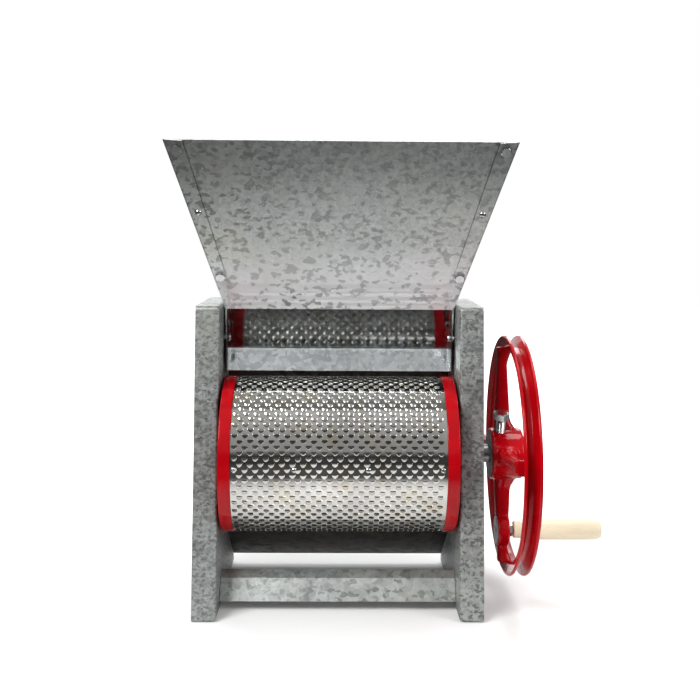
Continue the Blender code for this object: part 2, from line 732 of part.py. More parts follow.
# ------------------------------------------------------------------ bearings and shaft
def running_bore(radius, segments=SHAFT_SEGMENTS):
    """Corner radius of a faceted bore whose flats clear the shaft."""
    return (radius + RUNNING) / math.cos(math.pi / segments)


def make_bearing(name, side, material, parent):
    """Two-bolt plain bearing on the outer face of a web."""
    web = FRAME_INNER_HALF + FRAME_SHEET + TOUCH
    near = side * web
    far = side * (web + BEARING_LENGTH)
    flange_face = side * (web + BEARING_FLANGE_THICK)
    ear = BEARING_EAR_RADIUS
    outline = []
    for centre_y, start in ((BEARING_BOLT_OFFSET, -90.0), (-BEARING_BOLT_OFFSET, 90.0)):
        for index in range(7):
            angle = math.radians(start + 180.0 * index / 6.0)
            outline.append((near, centre_y + ear * math.cos(angle), AXIS_HEIGHT + ear * math.sin(angle)))
    flange = prism(outline, (flange_face - near, 0.0, 0.0))
    bearing = add_object(name, flange, material, parent, smooth_angle=35)
    boss = bmesh.new()
    rod_along(boss, (near, 0.0, AXIS_HEIGHT), (side, 0.0, 0.0), abs(far - near), BEARING_BOSS_RADIUS,
              SHAFT_SEGMENTS)
    combine(bearing, add_object(name + "_boss", boss, None, parent), "UNION")
    holes = bmesh.new()
    overshoot = side * BEARING_LENGTH * 0.2
    ring_a = ring_along_x(holes, running_bore(SHAFT_RADIUS), near - overshoot, SHAFT_SEGMENTS,
                          (0.0, AXIS_HEIGHT))
    ring_b = ring_along_x(holes, running_bore(SHAFT_RADIUS), far + overshoot, SHAFT_SEGMENTS,
                          (0.0, AXIS_HEIGHT))
    bridge(holes, ring_a, ring_b)
    holes.faces.new(ring_a)
    holes.faces.new(ring_b)
    for y, z in bearing_bolt_places():
        rod_along(holes, (near - overshoot, y, z), (side, 0.0, 0.0),
                  BEARING_FLANGE_THICK + 2.0 * abs(overshoot), BEARING_SCREW_RADIUS + TOUCH)
    cut(bearing, add_object(name + "_holes", holes, None, parent))
    return bearing


def make_bearing_screws(material, parent):
    """Screws from inside the web into the bearing flanges, heads in the drum's recess."""
    head = BEARING_SCREW_HEAD
    for side, label in ((-1, "left"), (1, "right")):
        for index, (y, z) in enumerate(bearing_bolt_places(), start=1):
            start_x = side * (FRAME_INNER_HALF - TOUCH - head)
            through = FRAME_SHEET + BEARING_FLANGE_THICK + BEARING_SCREW_TAIL
            steps = [(head, BEARING_SCREW_RADIUS * 1.9, 0), (through, BEARING_SCREW_RADIUS, 0)]
            body = stepped_rod((start_x, y, z), (side, 0.0, 0.0), steps, RIVET_SEGMENTS)
            add_object(f"bearing_screw_{label}_{index}", body, material, parent, smooth_angle=35)


def shaft_left_x():
    web = FRAME_INNER_HALF + FRAME_SHEET + TOUCH
    return -(web + BEARING_LENGTH + TOUCH + SHAFT_COLLAR_LENGTH)


def key_slots():
    """(name, centre X, length) of each key along the shaft."""
    inner = DRUM_RING_OUTER_X - DRUM_RING_WIDTH
    drum_key_x = inner - DRUM_HUB_LENGTH / 2.0
    wheel_key_x = WHEEL_HUB_NEAR_X + WHEEL_HUB_LENGTH / 2.0
    return [("drum_key_left", -drum_key_x, DRUM_HUB_LENGTH * 0.7),
            ("drum_key_right", drum_key_x, DRUM_HUB_LENGTH * 0.7),
            ("wheel_key", wheel_key_x, WHEEL_HUB_LENGTH - 2.0 * TOUCH)]


def key_box(centre_x, length, growth):
    """Box of a key on the rear side of the shaft, grown by a clearance all round."""
    half = KEY_SIZE / 2.0 + growth
    return box((centre_x - length / 2.0 - growth, SHAFT_RADIUS - half, -half),
               (centre_x + length / 2.0 + growth, SHAFT_RADIUS + half, half))


def make_shaft(material, rotor):
    chamfer = SHAFT_CHAMFER
    right_x = WHEEL_HUB_NEAR_X + WHEEL_HUB_LENGTH - chamfer
    profile = [(shaft_left_x(), SHAFT_RADIUS - chamfer), (shaft_left_x() + chamfer, SHAFT_RADIUS),
               (right_x - chamfer, SHAFT_RADIUS), (right_x, SHAFT_RADIUS - chamfer)]
    shaft = add_object("drive_shaft", turned(profile, SHAFT_SEGMENTS), material, rotor, smooth_angle=35)
    for name, centre_x, length in key_slots():
        cut(shaft, add_object(name + "_shaft_slot", key_box(centre_x, length, TOUCH), None, rotor))
    dimple = bmesh.new()
    tilt = set_bolt_direction()
    seat = Vector((SET_BOLT_X, 0.0, 0.0)) + tilt * (SHAFT_RADIUS - SET_BOLT_SEAT_DEPTH)
    rod_along(dimple, seat, tilt, SHAFT_RADIUS, SET_BOLT_RADIUS + TOUCH)
    cut(shaft, add_object("shaft_bolt_seat", dimple, None, rotor))
    return shaft


def make_keys(material, rotor):
    for name, centre_x, length in key_slots():
        add_object(name, key_box(centre_x, length, 0.0), material, rotor)


def make_shaft_collar(material, screw_material, rotor):
    start = shaft_left_x()
    profile = [(start, SHAFT_COLLAR_RADIUS), (start + SHAFT_COLLAR_LENGTH, SHAFT_COLLAR_RADIUS)]
    body = turned(bored_profile(profile, SHAFT_RADIUS + TOUCH), SHAFT_SEGMENTS, bored=True)
    collar = add_object("shaft_collar", body, material, rotor, smooth_angle=35)
    screw_radius = SHAFT_COLLAR_SCREW_RADIUS
    centre = Vector((start + SHAFT_COLLAR_LENGTH / 2.0, 0.0, 0.0))
    up = Vector((0.0, 0.0, 1.0))
    hole = bmesh.new()
    rod_along(hole, centre + up * (SHAFT_RADIUS - TOUCH), up, SHAFT_COLLAR_RADIUS, screw_radius + TOUCH)
    cut(collar, add_object("shaft_collar_hole", hole, None, rotor))
    steps = [(SHAFT_COLLAR_RADIUS - SHAFT_RADIUS - 2.0 * TOUCH, screw_radius, 0)]
    screw = stepped_rod(centre + up * (SHAFT_RADIUS + TOUCH), up, steps)
    add_object("shaft_collar_screw", screw, screw_material, rotor, smooth_angle=35)
    return collar


# ------------------------------------------------------------------ drum
def make_drum_core(material, rotor):
    """Wooden drum body that the punched skin is nailed to."""
    inner = DRUM_RING_OUTER_X - DRUM_RING_WIDTH - TOUCH
    radius = DRUM_SKIN_RADIUS - DRUM_SKIN_THICK - TOUCH
    recess_radius = DRUM_HUB_RADIUS + TOUCH
    bore = SHAFT_RADIUS + TOUCH
    hub_end = inner - DRUM_HUB_LENGTH
    profile = [(-inner, radius), (inner, radius), (inner, recess_radius), (hub_end, recess_radius),
               (hub_end, bore), (-hub_end, bore), (-hub_end, recess_radius), (-inner, recess_radius)]
    core = add_object("drum_core", turned(profile, DRUM_SEGMENTS, bored=True), material, rotor,
                      smooth_angle=35)
    cut(core, add_object("drum_core_holes", seam_screw_cutter(), None, rotor))
    return core


def make_drum_skin(material, rotor):
    inner = DRUM_RING_OUTER_X - DRUM_RING_WIDTH - TOUCH
    profile = [(-inner, DRUM_SKIN_RADIUS), (inner, DRUM_SKIN_RADIUS)]
    body = turned(bored_profile(profile, DRUM_SKIN_RADIUS - DRUM_SKIN_THICK), DRUM_SEGMENTS, bored=True)
    skin = add_object("drum_skin", body, material, rotor, smooth_angle=35)
    cut(skin, add_object("drum_skin_holes", seam_screw_cutter(), None, rotor))
    return skin


def seam_screw_cutter():
    bm = bmesh.new()
    for x in SEAM_SCREW_POSITIONS:
        start = (x, -DRUM_SKIN_RADIUS - SEAM_HOLE_MARGIN, 0.0)
        rod_along(bm, start, (0.0, 1.0, 0.0), SEAM_SCREW_LENGTH + 2.0 * SEAM_HOLE_MARGIN,
                  SEAM_SCREW_SHANK_RADIUS + TOUCH)
    return bm


def make_seam_screws(material, rotor):
    head = SEAM_SCREW_HEAD
    for index, x in enumerate(SEAM_SCREW_POSITIONS, start=1):
        start = (x, -DRUM_SKIN_RADIUS - TOUCH - head, 0.0)
        steps = [(head * 0.5, SEAM_SCREW_HEAD_RADIUS * 0.7, 0), (head * 0.5, SEAM_SCREW_HEAD_RADIUS, 0),
                 (SEAM_SCREW_LENGTH, SEAM_SCREW_SHANK_RADIUS, 0)]
        body = stepped_rod(start, (0.0, 1.0, 0.0), steps, RIVET_SEGMENTS)
        add_object(f"seam_screw_{index}", body, material, rotor, smooth_angle=35)


def make_drum_end(name, side, material, rotor):
    """Cast end of the drum: rim ring, disc and hub, open towards the side frame."""
    outer = DRUM_RING_OUTER_X
    inner = outer - DRUM_RING_WIDTH
    rim_inner_radius = DRUM_RING_RADIUS - DRUM_RIM_THICK
    edge = DRUM_RIM_EDGE
    hub_start = inner - DRUM_HUB_LENGTH
    disc_face = inner + DRUM_DISC_THICK
    profile = [(inner, DRUM_RING_RADIUS), (outer - edge, DRUM_RING_RADIUS),
               (outer, DRUM_RING_RADIUS - edge), (outer, rim_inner_radius),
               (disc_face, rim_inner_radius), (disc_face, SHAFT_RADIUS + TOUCH),
               (hub_start, SHAFT_RADIUS + TOUCH), (hub_start, DRUM_HUB_RADIUS),
               (inner, DRUM_HUB_RADIUS)]
    mirrored = [(side * x, radius) for x, radius in profile]
    end = add_object(name, turned(mirrored, DRUM_SEGMENTS, bored=True), material, rotor, smooth_angle=35)
    key_name, centre_x, length = key_slots()[0 if side < 0 else 1]
    cut(end, add_object(name + "_keyway", key_box(centre_x, length, TOUCH), None, rotor))
    return end


# ------------------------------------------------------------------ hand wheel
def set_bolt_direction():
    return Vector((0.0, -math.sin(SET_BOLT_TILT), math.cos(SET_BOLT_TILT)))


def wheel_rim_profile():
    """Closed (x, radius) loop of the V-grooved rim."""
    half = WHEEL_CREST_SPACING / 2.0
    wall = WHEEL_WALL / 2.0
    groove_half = WHEEL_GROOVE_FLOOR_HALF
    bottom = WHEEL_RADIUS - WHEEL_GROOVE_DEPTH
    under = WHEEL_RADIUS - WHEEL_RIM_DEPTH
    right = [(groove_half * 0.6, bottom), (half - wall, WHEEL_RADIUS - 0.0008), (half, WHEEL_RADIUS),
             (half + wall, WHEEL_RADIUS - 0.0010), (groove_half + WHEEL_WALL, bottom - 0.0010),
             (groove_half, under)]
    left = [(-x, radius) for x, radius in reversed(right)]
    return [(WHEEL_CENTRE_X + x, radius) for x, radius in right + left]


def spoke_sections():
    """(distance from the axis, centre X, half thickness, half width) along a spoke."""
    hub_t, hub_w = SPOKE_HUB_SECTION
    rim_t, rim_w = SPOKE_RIM_SECTION
    centre = SPOKE_CENTRE_X
    flare = SPOKE_FLARE
    fillet = WHEEL_HUB_RADIUS + 0.0125
    end = WHEEL_RADIUS - WHEEL_RIM_DEPTH + 0.0030
    near_rim = end - 0.0170
    rows = [(WHEEL_HUB_RADIUS * 0.60, centre + flare, hub_t + flare, hub_w + flare),
            (WHEEL_HUB_RADIUS + 0.0010, centre + flare, hub_t + flare, hub_w + flare * 0.8),
            (WHEEL_HUB_RADIUS + 0.0045, centre + flare * 0.4, hub_t + flare * 0.4, hub_w + flare * 0.2),
            (fillet, centre, hub_t, hub_w)]
    steps = 2
    for index in range(1, steps + 1):
        share = index / steps
        rows.append((fillet + (near_rim - fillet) * share, centre,
                     hub_t + (rim_t - hub_t) * share, hub_w + (rim_w - hub_w) * share))
    rows.append((end - 0.0080, centre + flare * 0.25, rim_t + flare * 0.25, rim_w + flare * 0.15))
    rows.append((end - 0.0030, centre + flare * 0.7, rim_t + flare * 0.7, rim_w + flare * 0.5))
    rows.append((end, centre + flare, rim_t + flare, rim_w + flare))
    return rows


def spoke_body(angle):
    """One tapered spoke, square-shouldered in section, lofted out from the hub."""
    bm = bmesh.new()
    turn = Matrix.Rotation(angle, 3, "X")
    loops = []
    for reach, centre_x, half_t, half_w in spoke_sections():
        loop = []
        for index in range(SPOKE_SIDES):
            around = 2.0 * math.pi * (index + 0.5) / SPOKE_SIDES
            cos_a, sin_a = math.cos(around), math.sin(around)
            x = centre_x + half_t * math.copysign(abs(cos_a) ** SPOKE_SQUARENESS, cos_a)
            y = half_w * math.copysign(abs(sin_a) ** SPOKE_SQUARENESS, sin_a)
            loop.append(bm.verts.new(turn @ Vector((x, y, reach))))
        loops.append(loop)
    for first, second in zip(loops, loops[1:]):
        bridge(bm, first, second)
    bm.faces.new(loops[0])
    bm.faces.new(loops[-1])
    return bm


def make_hand_wheel(material, rotor):
    """Cast V-belt pulley with four spokes, used as the hand wheel."""
    rim = turned(wheel_rim_profile(), WHEEL_SEGMENTS, bored=True)
    wheel = add_object("hand_wheel", rim, material, rotor, smooth_angle=40)
    near, far = WHEEL_HUB_NEAR_X, WHEEL_HUB_NEAR_X + WHEEL_HUB_LENGTH
    chamfer = WHEEL_HUB_CHAMFER
    hub = turned([(near, WHEEL_HUB_RADIUS - chamfer), (near + chamfer, WHEEL_HUB_RADIUS),
                  (far - chamfer, WHEEL_HUB_RADIUS), (far, WHEEL_HUB_RADIUS - chamfer)], SHAFT_SEGMENTS)
    for index in range(4):
        spoke = spoke_body(WHEEL_TURN + math.pi / 2.0 * index)
        combine(wheel, add_object(f"hand_wheel_spoke_{index + 1}", spoke, None, rotor), "UNION")
    combine(wheel, add_object("hand_wheel_hub", hub, None, rotor), "UNION")
    boss = bmesh.new()
    half_boss = crank_boss_half()
    rod_along(boss, crank_place(SPOKE_CENTRE_X - half_boss), (1.0, 0.0, 0.0), 2.0 * half_boss,
              CRANK_BOSS_RADIUS, 24)
    combine(wheel, add_object("hand_wheel_boss", boss, None, rotor), "UNION")

    bores = bmesh.new()
    rod_along(bores, (near - HOLE_MARGIN, 0.0, 0.0), (1.0, 0.0, 0.0), WHEEL_HUB_LENGTH + 2.0 * HOLE_MARGIN,
              SHAFT_RADIUS + TOUCH, SHAFT_SEGMENTS)
    rod_along(bores, crank_place(near), (1.0, 0.0, 0.0), WHEEL_HUB_LENGTH,
              CRANK_BOLT_RADIUS + TOUCH)
    cut(wheel, add_object("hand_wheel_bores", bores, None, rotor))
    key_name, centre_x, length = key_slots()[2]
    cut(wheel, add_object("hand_wheel_keyway", key_box(centre_x, length, TOUCH), None, rotor))
    bolt_hole = bmesh.new()
    direction = set_bolt_direction()
    start = Vector((SET_BOLT_X, 0.0, 0.0)) + direction * SHAFT_RADIUS * 0.5
    rod_along(bolt_hole, start, direction, WHEEL_HUB_RADIUS * 1.4, SET_BOLT_RADIUS + TOUCH)
    cut(wheel, add_object("hand_wheel_bolt_hole", bolt_hole, None, rotor))
    return wheel


def make_set_bolt(material, rotor):
    """Hex bolt through the hub that bites on the shaft."""
    direction = set_bolt_direction()
    tip = SHAFT_RADIUS - SET_BOLT_SEAT_DEPTH + TOUCH
    shank = WHEEL_HUB_RADIUS + SET_BOLT_STANDOFF - tip
    start = Vector((SET_BOLT_X, 0.0, 0.0)) + direction * tip
    steps = [(shank, SET_BOLT_RADIUS, 0), (SET_BOLT_RADIUS * 1.4, SET_BOLT_RADIUS * 1.6, 6)]
    body = stepped_rod(start, direction, steps)
    add_object("wheel_set_bolt", body, material, rotor, smooth_angle=35)


def crank_place(x):
    """Point at X on the crank bolt's axis, on the spoke that points down."""
    return Vector((x, CRANK_RADIUS * math.sin(WHEEL_TURN), -CRANK_RADIUS * math.cos(WHEEL_TURN)))


def crank_boss_half():
    """Half thickness of the crank boss, a little over the spoke's own at that radius."""
    rows = spoke_sections()
    for inner, outer in zip(rows, rows[1:]):
        if inner[0] <= CRANK_RADIUS <= outer[0]:
            share = (CRANK_RADIUS - inner[0]) / (outer[0] - inner[0])
            return inner[2] + (outer[2] - inner[2]) * share + CRANK_BOSS_PROUD
    raise ValueError("the crank bolt has to be on the spoke")


def make_crank_bolt(material, rotor):
    """Bolt that carries the grip: head in the grip's end, thread in the wheel boss."""
    near = SPOKE_CENTRE_X - SPOKE_RIM_SECTION[0]
    head_x = GRIP_START_X + GRIP_LENGTH - GRIP_COUNTERBORE_DEPTH + TOUCH
    steps = [(head_x - near, CRANK_BOLT_RADIUS, 0), (CRANK_BOLT_HEAD, CRANK_BOLT_HEAD_RADIUS, 0)]
    body = stepped_rod(crank_place(near), (1.0, 0.0, 0.0), steps)
    add_object("crank_bolt", body, material, rotor, smooth_angle=35)


def make_crank_nut(material, rotor):
    """Lock nut between the wheel boss and the grip."""
    near = SPOKE_CENTRE_X + crank_boss_half() + TOUCH
    body = stepped_rod(crank_place(near), (1.0, 0.0, 0.0),
                       [(CRANK_NUT_THICK, CRANK_NUT_ACROSS_FLATS / 2.0, 6)])
    nut = add_object("crank_nut", body, material, rotor)
    hole = bmesh.new()
    rod_along(hole, crank_place(near - CRANK_NUT_THICK), (1.0, 0.0, 0.0),
              CRANK_NUT_THICK * 3.0, CRANK_BOLT_RADIUS + TOUCH)
    cut(nut, add_object("crank_nut_hole", hole, None, rotor))


def make_crank_grip(material, pivot):
    """Turned wooden grip that spins on the crank bolt; X is counted from its inner end."""
    length = GRIP_LENGTH
    collar = GRIP_COLLAR_RADIUS
    neck = GRIP_NECK_RADIUS
    body = GRIP_BODY_RADIUS
    bore = CRANK_BOLT_RADIUS + TOUCH
    counterbore = CRANK_BOLT_HEAD_RADIUS + 2.0 * TOUCH
    seat = length - GRIP_COUNTERBORE_DEPTH
    profile = [(0.0, collar - 0.0006), (0.0006, collar), (0.0080, collar), (0.0100, neck + 0.0008),
               (0.0130, neck), (0.0180, neck + 0.0012), (0.0240, body - 0.0012), (0.0290, body - 0.0002),
               (0.0400, body), (length - 0.0120, body - 0.0001), (length - 0.0040, body - 0.0008),
               (length - 0.0012, body - 0.0018), (length, body - 0.0028),
               (length, counterbore), (seat, counterbore), (seat, bore), (0.0, bore)]
    shape = turned(profile, GRIP_SEGMENTS, bored=True)
    return add_object("crank_grip", shape, material, pivot, smooth_angle=35)


# ------------------------------------------------------------------ breast plate and adjusters
def breast_radius():
    return DRUM_SKIN_RADIUS + TOOTH_HEIGHT + BREAST_GAP


def breast_point(angle, radius):
    """(Y, Z) about the drum axis, the angle counted from the top towards the rear."""
    return radius * math.sin(angle), AXIS_HEIGHT + radius * math.cos(angle)


def adjuster_bar_y():
    travel_end = BREAST_BAR_Y + BREAST_BAR_THICK + BREAST_TRAVEL_OUT
    return travel_end + ADJUSTER_COLLAR_SLACK + ADJUSTER_COLLAR_THICK + TOUCH


def make_breast_plate(material, carrier):
    """Curved plate behind the drum, with a lip above, ribs and a tapped bar at its back."""
    inner, outer = breast_radius(), breast_radius() + BREAST_THICK
    face = []
    back = []
    for index in range(BREAST_STEPS + 1):
        angle = BREAST_TOP_ANGLE + (BREAST_FOOT_ANGLE - BREAST_TOP_ANGLE) * index / BREAST_STEPS
        face.append(breast_point(angle, inner))
        back.append(breast_point(angle, outer))
    lip_top = face[0][1] + BREAST_LIP_HEIGHT
    lip = [(face[0][0] + BREAST_THICK * 0.8, lip_top), (face[0][0], lip_top)]
    outline = face[::-1] + lip[::-1] + back[1:]
    points = [(-BREAST_HALF_X, y, z) for y, z in outline]
    plate = add_object("breast_plate", prism(points, (2.0 * BREAST_HALF_X, 0.0, 0.0)), material, carrier)
    rear = BREAST_BAR_Y + BREAST_BAR_THICK / 2.0
    low_z = AXIS_HEIGHT - BREAST_BAR_HALF_HEIGHT * BREAST_BAR_SHARE
    high_z = AXIS_HEIGHT + BREAST_BAR_HALF_HEIGHT * BREAST_BAR_SHARE
    rib_reach = BREAST_HALF_X * BREAST_RIB_SHARE
    for index, x in enumerate((-rib_reach, 0.0, rib_reach), start=1):
        low_x = x - BREAST_RIB_THICK / 2.0
        front = math.sqrt(inner * inner - BREAST_BAR_HALF_HEIGHT ** 2) + BREAST_THICK * 0.5
        rib = box((low_x, front, low_z), (low_x + BREAST_RIB_THICK, rear, high_z))
        combine(plate, add_object(f"breast_rib_{index}", rib, None, carrier), "UNION")
    bar_reach = BREAST_HALF_X * BREAST_BAR_SHARE
    bar = box((-bar_reach, BREAST_BAR_Y, AXIS_HEIGHT - BREAST_BAR_HALF_HEIGHT),
              (bar_reach, BREAST_BAR_Y + BREAST_BAR_THICK, AXIS_HEIGHT + BREAST_BAR_HALF_HEIGHT))
    combine(plate, add_object("breast_bar", bar, None, carrier), "UNION")
    holes = bmesh.new()
    for side in (-1, 1):
        rod_along(holes, (side * ADJUSTER_X, BREAST_BAR_Y - HOLE_MARGIN, AXIS_HEIGHT), (0.0, 1.0, 0.0),
                  BREAST_BAR_THICK + 2.0 * HOLE_MARGIN, ADJUSTER_RADIUS + TOUCH)
    cut(plate, add_object("breast_bar_holes", holes, None, carrier))
    return plate


def make_adjuster_bar(material, parent):
    """Flat bar across the frame that the two adjuster screws turn in."""
    half = FRAME_INNER_HALF - TOUCH
    y = adjuster_bar_y()
    bm = box((-half, y, AXIS_HEIGHT - ADJUSTER_BAR_HALF_HEIGHT),
             (half, y + ADJUSTER_BAR_THICK, AXIS_HEIGHT + ADJUSTER_BAR_HALF_HEIGHT))
    bar = add_object("adjuster_bar", bm, material, parent)
    holes = bmesh.new()
    for side in (-1, 1):
        rod_along(holes, (side * ADJUSTER_X, y - HOLE_MARGIN, AXIS_HEIGHT), (0.0, 1.0, 0.0),
                  ADJUSTER_BAR_THICK + 2.0 * HOLE_MARGIN, ADJUSTER_RADIUS + TOUCH)
    cut(bar, add_object("adjuster_bar_holes", holes, None, parent))
    return bar


def make_adjuster_screw(name, material, pivot):
    """Hex-head screw, origin where its axis meets the drum's height; it turns in place."""
    bar_y = adjuster_bar_y()
    tip_y = BREAST_BAR_Y - ADJUSTER_TIP_REACH
    head_y = bar_y + ADJUSTER_BAR_THICK + TOUCH
    steps = [(head_y - tip_y, ADJUSTER_RADIUS, 0),
             (ADJUSTER_HEAD, ADJUSTER_HEAD_RADIUS, 6)]
    body = stepped_rod((0.0, tip_y - bar_y, 0.0), (0.0, 1.0, 0.0), steps)
    return add_object(name, body, material, pivot, smooth_angle=35)


def make_adjuster_collar(name, material, pivot):
    """Stop collar on the screw in front of the bar."""
    start = -ADJUSTER_COLLAR_THICK - TOUCH
    body = stepped_rod((0.0, start, 0.0), (0.0, 1.0, 0.0),
                       [(ADJUSTER_COLLAR_THICK, ADJUSTER_COLLAR_RADIUS, 0)])
    collar = add_object(name, body, material, pivot, smooth_angle=35)
    hole = bmesh.new()
    rod_along(hole, (0.0, start - HOLE_MARGIN, 0.0), (0.0, 1.0, 0.0),
              ADJUSTER_COLLAR_THICK + 2.0 * HOLE_MARGIN, ADJUSTER_RADIUS + TOUCH)
    cut(collar, add_object(name + "_hole", hole, None, pivot))
    return collar


# ------------------------------------------------------------------ assembly
def machine_offset():
    """Moves the machine so that its overall box stands centred on the origin."""
    half_x = HOPPER_BASE_HALF_X + HOPPER_SIDE_FLARE
    low_x = min(-half_x, -(FRAME_INNER_HALF + FRAME_FLANGE), shaft_left_x())
    high_x = max(half_x, GRIP_START_X + GRIP_LENGTH)
    half_y = HOPPER_BASE_HALF_Y + HOPPER_END_FLARE
    low_y = min(FRAME_CENTRE_Y - half_y, -WHEEL_RADIUS)
    normal = hopper_end_normal(1)
    bolt = fastener_place(1, 1, HOPPER_BOLT_HEIGHTS[-1]) + normal * (HOPPER_BOLT_HEAD + TOUCH)
    bolt_y = bolt.y + HOPPER_BOLT_ACROSS_FLATS / 2.0 * abs(normal.z)
    high_y = max(FRAME_CENTRE_Y + half_y, WHEEL_RADIUS, FRAME_CENTRE_Y + FRAME_FOOT_HALF, bolt_y)
    return Vector((-(low_x + high_x) / 2.0, -(low_y + high_y) / 2.0, 0.0))


def build():
    clear_scene()
    galvanised = make_material("galvanised_sheet", (0.45, 0.47, 0.46), 0.42, 0.85)
    bright = make_material("bright_galvanised", (0.68, 0.70, 0.70), 0.34, 0.9)
    red = make_material("red_enamel", (0.62, 0.012, 0.03), 0.18, 0.0)
    steel = make_material("turned_steel", (0.42, 0.42, 0.43), 0.32, 1.0)
    punched = make_material("punched_skin", (0.78, 0.75, 0.68), 0.24, 1.0)
    iron = make_material("cast_iron", (0.16, 0.16, 0.17), 0.6, 0.7)
    zinc = make_material("zinc_plated", (0.76, 0.77, 0.76), 0.28, 0.95)
    beech = make_material("beech_grip", (0.82, 0.70, 0.52), 0.5, 0.0)
    core_wood = make_material("core_wood", (0.50, 0.34, 0.19), 0.65, 0.0)

    machine = add_empty("machine", machine_offset())
    rotor = add_empty("rotor_axis", (0.0, 0.0, AXIS_HEIGHT), machine)
    grip_pivot = add_empty("grip_axis", crank_place(GRIP_START_X), rotor)

    for side, label in ((-1, "left"), (1, "right")):
        make_side_frame(f"side_frame_{label}", side, galvanised, machine)
        make_hopper_side(f"hopper_side_{label}", side, galvanised, machine)
        make_bearing(f"bearing_{label}", side, iron, machine)
        make_drum_end(f"drum_end_{label}", side, red, rotor)
    make_hopper_end("hopper_front", -1, galvanised, machine)
    make_hopper_end("hopper_rear", 1, galvanised, machine)
    make_hopper_fasteners(zinc, zinc, machine)
    make_guide_plate(bright, machine)
    make_guide_screws(zinc, machine)
    make_skirt_rivets(zinc, machine)
    make_rear_throat_plate(bright, machine)
    make_front_cross_plate(bright, machine)
    make_bean_chute(bright, machine)
    make_bearing_screws(zinc, machine)

    make_shaft(steel, rotor)
    make_keys(steel, rotor)
    make_shaft_collar(steel, zinc, rotor)
    make_drum_core(core_wood, rotor)
    make_drum_skin(punched, rotor)
    make_seam_screws(zinc, rotor)
    make_hand_wheel(red, rotor)
    make_set_bolt(zinc, rotor)
    make_crank_bolt(zinc, rotor)
    make_crank_nut(zinc, rotor)
    make_crank_grip(beech, grip_pivot)

    make_breast_plate(iron, machine)
    make_adjuster_bar(galvanised, machine)
    for side, label in ((-1, "left"), (1, "right")):
        pivot = add_empty(f"adjuster_axis_{label}", (side * ADJUSTER_X, adjuster_bar_y(), AXIS_HEIGHT),
                          machine)
        make_adjuster_screw(f"adjuster_screw_{label}", zinc, pivot)
        make_adjuster_collar(f"adjuster_collar_{label}", zinc, pivot)


build()
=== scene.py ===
"""Finished look of a hand-cranked drum fruit pulper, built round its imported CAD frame.

Machine places are written as (X, Y, Z) from the middle of the machine: X along the shaft
towards the hand wheel, Y from the open drum side to the rear, Z up from the bench.  Every
piece is moved by MACHINE at the end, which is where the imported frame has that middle.
"""

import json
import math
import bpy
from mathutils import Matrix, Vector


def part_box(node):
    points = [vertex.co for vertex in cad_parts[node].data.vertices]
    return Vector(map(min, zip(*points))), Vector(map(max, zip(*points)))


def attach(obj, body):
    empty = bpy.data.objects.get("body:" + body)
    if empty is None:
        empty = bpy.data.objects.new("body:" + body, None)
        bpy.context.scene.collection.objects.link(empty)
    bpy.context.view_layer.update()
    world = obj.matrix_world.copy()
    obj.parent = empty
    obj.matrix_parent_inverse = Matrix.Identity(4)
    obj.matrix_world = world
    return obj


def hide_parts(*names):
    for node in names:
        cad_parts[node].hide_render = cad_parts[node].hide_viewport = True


bl_info = {
    "name": "Drum Pulper Finish",
    "version": (1, 0, 0),
    "blender": (4, 5, 0),
    "location": "View3D > Sidebar > Pulper",
    "description": "Builds the finished sheet metal, drum, wheel and grip of a hand fruit pulper",
    "category": "Object",
}

import bmesh
import bpy
from mathutils import Matrix, Vector

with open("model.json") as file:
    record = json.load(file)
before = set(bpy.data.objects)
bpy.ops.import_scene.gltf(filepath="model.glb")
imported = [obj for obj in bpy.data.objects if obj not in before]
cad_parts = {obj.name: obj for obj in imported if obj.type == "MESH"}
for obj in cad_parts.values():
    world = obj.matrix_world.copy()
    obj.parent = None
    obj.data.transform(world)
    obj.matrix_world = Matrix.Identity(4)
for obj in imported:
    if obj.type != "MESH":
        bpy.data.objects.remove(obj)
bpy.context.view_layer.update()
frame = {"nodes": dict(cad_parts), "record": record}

# ------------------------------------------------------------------ places from the frame
SHAFT_LOW, SHAFT_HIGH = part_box("drive_shaft")
LEFT_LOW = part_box("side_frame_left")[0]
RIGHT_LOW, RIGHT_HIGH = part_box("side_frame_right")
MACHINE = Vector(((LEFT_LOW.x + RIGHT_HIGH.x) / 2.0, (SHAFT_LOW.y + SHAFT_HIGH.y) / 2.0, 0.0))
AXIS_Z = (SHAFT_LOW.z + SHAFT_HIGH.z) / 2.0
SHAFT_RADIUS = (SHAFT_HIGH.z - SHAFT_LOW.z) / 2.0
FRAME_CENTRE_Y = (RIGHT_LOW.y + RIGHT_HIGH.y) / 2.0 - MACHINE.y
GAP = 0.0003                     # clearance between pieces that fit to each other
NEAR = 1e-5                      # two places this close count as the same
SIDES = (("left", -1), ("right", 1))

HOPPER_LOW, HOPPER_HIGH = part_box("hopper_front")
HOPPER_BASE_Z = HOPPER_LOW.z
HOPPER_HEIGHT = HOPPER_HIGH.z - HOPPER_LOW.z
HOPPER_BASE_HALF_X = 0.1252
HOPPER_BASE_HALF_Y = 0.0350
HOPPER_SIDE_FLARE = 0.0505
HOPPER_END_FLARE = 0.1130
HOPPER_STEPS = 14
SKIRT_INNER_X = 0.1240
SKIRT_DEPTH = 0.0360             # below the hopper's base
SKIRT_HALF_Y = 0.0260
SKIRT_BEND_DROP = 0.0015
SKIRT_BEND_INSET = 0.0020
LAP_BASE = 0.0035                # width of a lap at the base
LAP_KINK = 0.0138                # and where its edge changes slope
LAP_KINK_HEIGHT = 0.0350
LAP_DROP = 0.0012                # a lap stops this far under the rim
FASTENER_SHARE = 0.56            # place across a lap, from the corner
BOLT_HEIGHTS = (0.0372, 0.1665)
RIVET_HEIGHT = 0.1040
RIVET_HEAD = 0.0019
